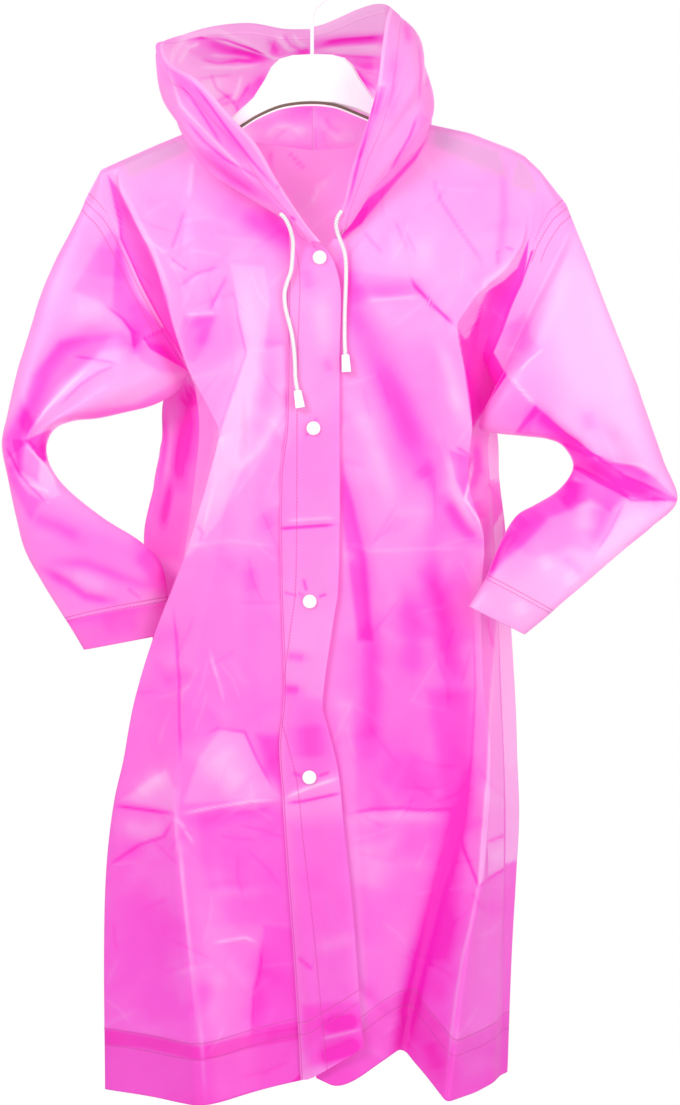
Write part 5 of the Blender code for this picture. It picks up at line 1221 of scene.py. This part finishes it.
sleeveRightPiece = laySleeve(
    "sleeve_right_film", "sleeve_right", rightFront[-1][2], back[0][2], bodyCloth["underarm"],
    rightSleeve, rightSleeveCreases, -1, 360)
sleeveLeftPiece = laySleeve(
    "sleeve_left_film", "sleeve_left", leftFront[-1][2], back[-1][2], bodyCloth["underarm"] + 2,
    leftSleeve, leftSleeveCreases, 1, 262)
print("coat: sleeves laid")


# inside the hood inTone and neckFaint scale its painted shade, inPale paints it paler against its
# shade; edgePale is a painted highlight along the rim
hoodCloth = {"rows": 300, "across": 168, "casing": 18.0, "casingRise": 0.9, "fade": 1.4,
             "middleReach": 0.5, "neckReach": 26.0, "calmEdges": 14.0,
             "neckLevel": 94.0, "neckFade": 12.0, "neckFaint": 0.5,
             "inTone": 0.95, "inPale": 0.3, "edgePale": 0.45, "edgeWidth": 5.0}

rightHood = (
    (317, 239, -30, 311, 244, -35, 310, 240, -43, 321, 243, -45),
    (292, 223, -28, 279, 217, -38, 285, 214, -47, 304, 222, -45),
    (266, 201, -22, 252, 200, -42, 261, 184, -53, 277, 181, -49),
    (238, 176, -18, 230, 187, -44, 235, 160, -58, 256, 145, -54),
    (216, 152, -15, 209, 173, -42, 206, 136, -60, 231, 118, -56),
    (201, 133, -11, 192, 152, -34, 181, 104, -54, 200, 83, -52),
    (196, 123, 0, 179, 128, -14, 161, 80, -24, 171, 64, -36),
    (200, 123, 11, 180, 122, 14, 154, 50, 6, 163, 42, -12),
    (214, 128, 20, 190, 134, 46, 168, 60, 50, 184, 31, 6),
    (236, 134, 27, 216, 160, 68, 202, 66, 78, 214, 22, 18),
    (262, 139, 31, 250, 184, 82, 244, 76, 90, 250, 19, 22),
    (288, 143, 33, 282, 200, 90, 280, 84, 95, 284, 25, 18),
    (311.6, 145, 34, 311.6, 206, 94, 311.6, 88, 98, 311.6, 26, 8),
)
leftHood = (
    (332, 236, -24, 339, 235, -30, 342, 226, -36, 336, 222, -35),
    (348, 218, -23, 352, 220, -36, 353, 196, -46, 345, 200, -42),
    (364, 192, -20, 370, 193, -42, 369, 164, -54, 352, 168, -50),
    (381, 168, -17, 389, 172, -44, 389, 134, -60, 366, 128, -55),
    (398, 147, -14, 409, 155, -42, 409, 104, -62, 377, 88, -56),
    (412, 127, -11, 424, 140, -32, 423, 80, -52, 382, 50, -50),
    (416.6, 113, 0, 431.5, 119.5, -12, 426, 54, -22, 386, 20, -34),
    (415.6, 114, 12, 429, 116, 20, 421, 38, 14, 389, 5, -12),
    (402, 125, 22, 415, 140, 52, 405, 38, 52, 376, 1, 6),
    (378, 133, 28, 391, 166, 74, 384, 54, 80, 357, 6, 14),
    (346, 139, 32, 354, 190, 88, 350, 74, 92, 337, 15, 14),
    (312.4, 145, 34, 312.4, 206, 94, 312.4, 88, 98, 312.4, 26, 8),
)
rightHoodFolds = ((1.3, -4.5, 0.16, 1.6, 7.2), (1.62, 3.5, 0.2, 2, 9), (2.2, -4, 0.2, 2.4, 8),
                    (1.5, -6, 0.28, 8.6, 13.4), (0.6, 5, 0.26, 8, 13.4))
leftHoodFolds = ((1.35, 3, 0.18, 1.6, 7), (1.8, -4.5, 0.22, 2, 8), (2.4, 3, 0.2, 2, 7),
                   (1.4, -5, 0.26, 8, 12.4), (0.7, 4, 0.26, 7.6, 12.4))
rightHoodCreases = {
    "outside": (
        ("facet", 0, 5, 0.12, 170, 68, 187, 76, 210, 106, 250, 160, 242, 166, 215, 140, 190, 108,
         176, 88),
        ("sharp", -0.9, 2, 0.5, 187, 76, 210, 106, 232, 136, 252, 162, 278, 192),
        ("facet", 0, 10, 0.3, 200, 150, 216, 152, 270, 196, 292, 222, 270, 205, 230, 184),
        ("sharp", -1.2, 2.6, 0.45, 183, 118, 205, 143, 225, 160, 265, 183),
        ("sharp", 1.0, 2.4, -0.4, 168, 65, 181, 107, 208, 135, 240, 168, 262, 190),
        ("sharp", -1.0, 2.6, 0.4, 176, 80, 195, 105, 225, 150),
        ("soft", -1.6, 7, 0.4, 170, 68, 186, 84, 210, 116, 232, 143, 248, 160),
        ("shade", 0, 8, 0.3, 196, 150, 230, 178, 262, 200),
        ("sharp", -0.8, 2, 0.4, 277, 185, 279, 190),
        ("sharp", -0.9, 2, 0.6, 290, 217, 296, 221),
    ),
    "inside": (
        ("facet", 0, 17, 0.6, 250, 116, 285, 103, 313, 98, 313, 112, 296, 109, 280, 114, 262, 121),
        ("facet", 0, 15, 0.4, 248, 131, 262, 130, 290, 134, 314, 135, 314, 150, 285, 148, 256,
         144),
        ("sharp", 1.0, 2.6, -0.8, 166, 66, 172, 46, 184, 34, 200, 31, 226, 37, 256, 48, 278, 52,
         306, 47),
        ("sharp", 0.8, 2.2, -0.6, 176, 58, 186, 42, 200, 37),
        ("facet", 0, 7, 0.4, 188, 36, 206, 32, 226, 36, 250, 42, 270, 50, 262, 57, 232, 58, 205,
         54, 186, 46),
        ("facet", 0, 16, 0.85, 244, 116, 280, 98, 314, 96, 314, 152, 256, 148),
        ("facet", 0, 14, 0.25, 226, 64, 262, 62, 244, 92, 234, 112, 214, 96),
        ("shade", 0, 12, 0.25, 288, 106, 312, 103),
        ("sharp", 1.0, 2.4, -0.45, 262, 128, 276, 118, 292, 120, 304, 130),
        ("sharp", -1.0, 2.4, 0.5, 270, 134, 284, 122, 300, 116),
        ("sharp", -1.1, 2.2, 0.5, 208, 64, 214, 80, 230, 92, 240, 108),
        ("sharp", 1.0, 2.2, -0.45, 240, 66, 236, 82, 228, 98),
        ("sharp", -0.9, 2.2, 0.5, 196, 52, 216, 56, 236, 54, 258, 56),
        ("sharp", 0.9, 2.0, -0.5, 206, 48, 228, 50, 252, 53),
        ("sharp", -1.0, 2.2, 0.55, 282, 30, 290, 40, 302, 46),
        ("sharp", 0.9, 2.0, -0.45, 292, 30, 298, 38, 308, 42),
        ("soft", -1.5, 6, 0.35, 226, 48, 248, 50, 266, 53),
        ("sharp", -0.9, 2, 0.9, 182, 36, 205, 33, 226, 35, 250, 43, 270, 53),
        ("facet", 0, 3, 0.6, 274, 34, 288, 46, 310, 44, 310, 54, 276, 54, 268, 46),
        ("facet", 0, 7, 0.6, 244, 80, 266, 62, 262, 78, 240, 104, 236, 118, 230, 112),
        ("facet", 0, 3, -0.3, 272, 120, 296, 115, 306, 124, 290, 134, 262, 130),
        ("soft", -2.0, 6, 0.9, 202, 36, 225, 44, 248, 49, 268, 54),
        ("sharp", 1.2, 2.4, -0.5, 193, 30, 218, 27, 248, 38, 275, 52),
        ("sharp", 1.0, 2.6, -0.4, 196, 60, 231, 60, 268, 56),
        ("sharp", -0.8, 2.2, 0.35, 193, 72, 212, 69, 231, 67),
        ("sharp", -1.2, 2.2, 0.5, 212, 97, 222, 90, 233, 86),
        ("sharp", -1.2, 2.2, 0.5, 214, 99, 226, 95, 237, 93, 250, 72),
        ("sharp", -0.9, 2.2, 0.4, 237, 93, 233, 118),
        ("soft", -0.8, 9, 0.5, 262, 66, 258, 84, 250, 92),
        ("soft", -1.2, 4, 0.7, 268, 36, 277, 48),
        ("soft", -1.2, 4, 0.8, 296, 52, 309, 43),
        ("soft", 1.0, 4, -0.4, 277, 32, 290, 44),
        ("shade", 0, 12, -0.3, 200, 84, 222, 78),
        ("shade", 0, 12, 0.25, 280, 110, 312, 106, 340, 112),
        ("soft", 1.2, 4, -0.6, 275, 116, 290, 119, 309, 122),
        ("shade", 0, 4, 0.4, 262, 142, 300, 141, 320, 141),
    ),
}
leftHoodCreases = {
    "outside": (
        ("sharp", -0.8, 2, 0.5, 378, 84, 371, 118, 361, 154, 352, 190, 346, 212),
        ("facet", 0, 5, 0.35, 378, 86, 386, 90, 378, 118, 362, 158, 356, 160, 368, 118),
        ("facet", 0, 5, 0.2, 420, 112, 428, 120, 412, 146, 392, 176, 386, 178, 406, 142),
        ("facet", 0, 20, -0.12, 388, 20, 425, 50, 425, 110, 390, 190, 360, 210, 380, 90),
        ("shade", 0, 4, 0.5, 406, 22, 409, 42),
        ("shade", 0, 6, 0.35, 395, 55, 392, 90, 389, 118),
        ("sharp", -0.7, 2.2, 0.3, 419, 42, 421, 75, 419, 104),
        ("sharp", -0.7, 2.2, 0.3, 427, 50, 428, 90),
        ("sharp", -1.2, 2.4, 0.5, 418, 114, 410, 137, 389, 175),
        ("shade", 0, 6, 0.5, 380, 92, 374, 118),
        ("soft", 0.8, 4, -0.4, 376, 86, 386, 86),
        ("shade", 0, 5, 0.4, 364, 128, 356, 158, 350, 185),
    ),
    "inside": (
        ("facet", 0, 17, 0.6, 310, 98, 340, 100, 372, 112, 366, 118, 340, 111, 326, 113, 310, 112),
        ("facet", 0, 15, 0.4, 310, 133, 330, 134, 358, 133, 354, 144, 330, 148, 310, 149),
        ("facet", 0, 16, 0.85, 312, 96, 340, 98, 374, 114, 356, 150, 312, 152),
        ("facet", 0, 6, -0.35, 315, 18, 340, 10, 372, 0, 387, 2, 383, 24, 340, 28, 315, 32),
        ("facet", 0, 6, 0.55, 311, 36, 340, 31, 385, 27, 385, 38, 350, 41, 311, 43),
        ("facet", 0, 7, 0.5, 338, 50, 385, 48, 383, 76, 366, 82, 356, 68),
        ("sharp", -0.6, 3, 0.6, 314, 116, 315, 130, 315, 146),
        ("sharp", 1.0, 3.6, -0.45, 318, 108, 324, 120, 334, 130, 348, 134),
        ("sharp", -1.0, 3.6, 0.5, 324, 108, 332, 120, 344, 126),
        ("sharp", -0.9, 2.2, 0.5, 320, 38, 346, 34, 384, 30),
        ("sharp", 0.9, 2.0, -0.5, 318, 44, 350, 40, 384, 38),
        ("sharp", -0.9, 2.2, 0.5, 348, 58, 362, 70, 380, 84),
        ("sharp", 0.8, 2.0, -0.4, 344, 54, 364, 62, 382, 64),
        ("facet", 0, 3, -0.3, 330, 122, 352, 124, 358, 134, 336, 138),
        ("soft", -1.6, 3, 0.8, 317, 42, 340, 37, 385, 32),
        ("soft", 1.0, 4, -0.35, 320, 45, 350, 43, 380, 41),
        ("sharp", -1.0, 2.4, 0.5, 317, 47, 350, 49, 382, 50),
        ("shade", 0, 8, 0.6, 352, 62, 364, 60, 376, 58),
        ("sharp", -1.0, 2.4, 0.4, 352, 66, 364, 74, 374, 90),
        ("sharp", 0.8, 2.2, -0.3, 354, 58, 366, 66, 378, 70),
        ("shade", 0, 7, 0.5, 322, 122, 326, 134),
        ("sharp", 0.9, 3.6, -0.3, 326, 126, 332, 138),
    ),
}

neckline = np.concatenate([rightGrid[0], leftGrid[0], backGrid[0]])
neckline = neckline[neckline[:, 1] < 262]


def layHood(name, node, sections, folds, creases, facing):
    look = hoodCloth
    table = np.reshape(sections, (len(sections), -1, 3)).astype(float)
    last, across = len(table) - 1, table.shape[1] - 1
    lengths = np.linspace(0, last, look["rows"])
    run = np.linspace(0, across, look["across"])
    lines = throughPoints(table, lengths).transpose(1, 0, 2)
    grid = throughPoints(lines, run).transpose(1, 0, 2)
    section = lengths[:, None]
    height = np.zeros(grid.shape[:2])
    for liesAt, standsOut, breadth, first, end in folds:
        fade = np.clip(np.minimum(section - first, end - section) / look["fade"], 0, 1)
        height += standsOut * fade * np.exp(-((run[None, :] - liesAt) / breadth) ** 2)
    grid = grid + squareTo(grid, facing) * height[..., None]
    middle = 1 - smooth((last - section) / look["middleReach"])
    grid[..., 0] = grid[..., 0] * (1 - middle) + hookPlace[0] * middle
    nearest = np.array([neckline[np.argmin(np.linalg.norm(neckline - point, axis=1))]
                        for point in grid[:, 0]])
    grid = carryEdge(grid, nearest, np.ones(len(grid)), look["neckReach"])
    square = squareTo(grid, facing)
    alongRun, alongHood = clothLengths(grid)
    easy = (smooth(alongRun / look["calmEdges"])
            * smooth((alongHood[-1:] - alongHood) / look["calmEdges"]))
    shown, inside = (turnedShare(way * square[..., 2], 0.1) for way in (-1, 1))
    rise, tone = drawCreases(grid, creases["outside"], shown)
    riseIn, toneIn = drawCreases(grid, creases["inside"], inside)
    fromEdge = alongRun[:, -1:] - alongRun
    # the inside's painted shade and highlights, fainter low down behind the neck, since these folds
    # show on the outside too; the whole inside painted paler against its shade, and a painted
    # highlight along the rim's edge
    lowDown = smooth((grid[..., 1] - look["neckLevel"]) / look["neckFade"])
    tone = (tone + (look["inTone"] - look["neckFaint"] * lowDown) * toneIn
            - look["inPale"] * inside
            - look["edgePale"] * shown * smooth((look["edgeWidth"] - fromEdge) / 2))
    rise = rise - riseIn + look["casingRise"] * (smooth((look["casing"] - fromEdge) / 3)
                                                 * smooth(fromEdge / 3))
    grid = grid + square * (rise * easy)[..., None]
    marks = {"tone": tone, "fromHem": fromEdge, "hangerShadow": 0 * fromEdge}
    piece = addCloth(name, grid, marks, hoodFilm, facing)
    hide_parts(node)
    return piece


hoodRightPiece = layHood("hood_right_film", "hood_right", rightHood, rightHoodFolds,
                         rightHoodCreases, 1)
hoodLeftPiece = layHood("hood_left_film", "hood_left", leftHood, leftHoodFolds,
                        leftHoodCreases, -1)
print("coat: hood laid")


snapLook = {"width": 14.0, "seat": 0.3, "segments": 40, "profile": (
    (0, 2.5), (2.0, 2.52), (3.3, 2.75), (4.3, 3.1), (5.2, 3.15), (6.1, 2.8), (6.7, 2.1),
    (7.0, 1.3), (6.95, 0.5), (6.4, 0.0), (4.0, -0.2))}

snaps = ((319.6, 257.4), (313.5, 428.4), (309.7, 601.5), (309.4, 777.0))


def addSnap(index, across, down):
    # one press-stud cap: a low dome with a rolled rim and a shallow dish
    look = snapLook
    near = placketGrid[np.hypot(placketGrid[..., 0] - across, placketGrid[..., 1] - down)
                       < look["width"] / 2]
    seat = near[:, 2].min() - look["seat"]
    work = bmesh.new()
    verts = [work.verts.new((reach * mm, -height * mm, 0)) for reach, height in look["profile"]]
    edges = [work.edges.new(pair) for pair in zip(verts, verts[1:])]
    bmesh.ops.spin(work, geom=verts + edges, cent=(0, 0, 0), axis=(0, 1, 0), dvec=(0, 0, 0),
                   angle=2 * math.pi, steps=look["segments"], use_merge=True)
    bmesh.ops.remove_doubles(work, verts=work.verts, dist=weld)
    bmesh.ops.holes_fill(work, edges=[edge for edge in work.edges if edge.is_boundary], sides=0)
    bmesh.ops.recalc_face_normals(work, faces=work.faces)
    bmesh.ops.translate(work, verts=work.verts, vec=Vector(toMetres((across, down, seat))))
    piece = addPiece("press_stud_%d" % index, meshFrom(work, "snap"), snapPlastic)
    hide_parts("snap_%d" % index)


rimLook = {"front": 6.0, "steps": 90, "sides": 12, "line": (
    (236, 128), (256, 115), (277, 105.5), (295, 101.8), (313, 100.8), (328, 102), (342, 105.5),
    (372, 118))}


def addRim(name, drop, reach, finish):
    # one of the two thin strips under the hanger's neck arch: the dark one painted shade along its
    # lower edge, the pale one its thickness
    look = rimLook
    line = np.array([(across, down + drop, -look["front"]) for across, down in look["line"]])
    path = throughPoints(line, np.linspace(0, len(line) - 1, look["steps"]))
    radius = np.full(len(path), reach)
    return addCloth(name, tubeGrid(path, radius, look["sides"], depthWay), {}, finish, 1,
                    closed=True)


# painted shade along the hanger's lower edge, and its pale edge below
addRim("hanger_rim", 0.0, 1.4, hangerEdgeShade)
addRim("hanger_rim_light", 2.6, 1.0, hangerPlastic)
for index, (across, down) in enumerate(snaps, 1):
    addSnap(index, across, down)


for node, finish in (("hanger_body", hangerPlastic), ("hanger_hook", hookCoat)):
    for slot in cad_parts[node].material_slots:
        slot.material = finish
print("coat: hardware placed")


room = {
    "floor": -1.52, "floorReach": 2.6, "floorColour": (0.82, 0.81, 0.81, 1), "floorRough": 0.8,
    "ambient": 0.74,  # the white surroundings light the coat less than they look to the camera
    "lamps": (  # name, place, aim, size in metres, watts
        ("key", (-1.7, -2.3, 1.0), (0, 0, -0.5), (1.1, 1.1), 46.0),
        ("fill", (2.2, -2.2, -0.2), (0, 0, -0.6), (1.8, 2.2), 36.0),
        ("behind", (0.2, 2.8, -0.6), (0, 0, -0.6), (2.4, 2.4), 26.0)),
}

for name, place, aim, size, power in room["lamps"]:
    lamp = bpy.data.lights.new(name, "AREA")
    lamp.shape = "RECTANGLE"
    lamp.size, lamp.size_y = size
    lamp.energy = power
    piece = bpy.data.objects.new(name, lamp)
    piece.location = place
    piece.rotation_euler = (Vector(aim) - Vector(place)).to_track_quat("-Z", "Y").to_euler()
    bpy.context.scene.collection.objects.link(piece)

world = bpy.data.worlds.new("studio")
world.use_nodes = True
bpy.context.scene.world = world
tree = world.node_tree
tree.nodes.clear()
ray = addNode(tree, "LightPath")
level = addNode(tree, "MapRange", {"Value": ray.outputs["Is Camera Ray"],
                                   "To Min": room["ambient"], "To Max": 1.0})
sky = addNode(tree, "Background", {"Color": (1, 1, 1, 1), "Strength": level.outputs[0]})
addNode(tree, "OutputWorld", {"Surface": sky.outputs[0]})
bpy.context.scene.view_settings.view_transform = "Standard"

floorWork = bmesh.new()
bmesh.ops.create_grid(floorWork, x_segments=1, y_segments=1, size=room["floorReach"])
bmesh.ops.translate(floorWork, verts=floorWork.verts, vec=(0, 0, room["floor"]))
floorMesh = meshFrom(floorWork, "floor")
floorFinish, tree = newFinish("pale floor")
pale = addNode(tree, "BsdfPrincipled", {"Base Color": room["floorColour"],
                                        "Roughness": room["floorRough"]})
addNode(tree, "OutputMaterial", {"Surface": pale.outputs[0]})
floorMesh.materials.append(floorFinish)
floor = bpy.data.objects.new("floor", floorMesh)
bpy.context.scene.collection.objects.link(floor)

print("coat: ready")
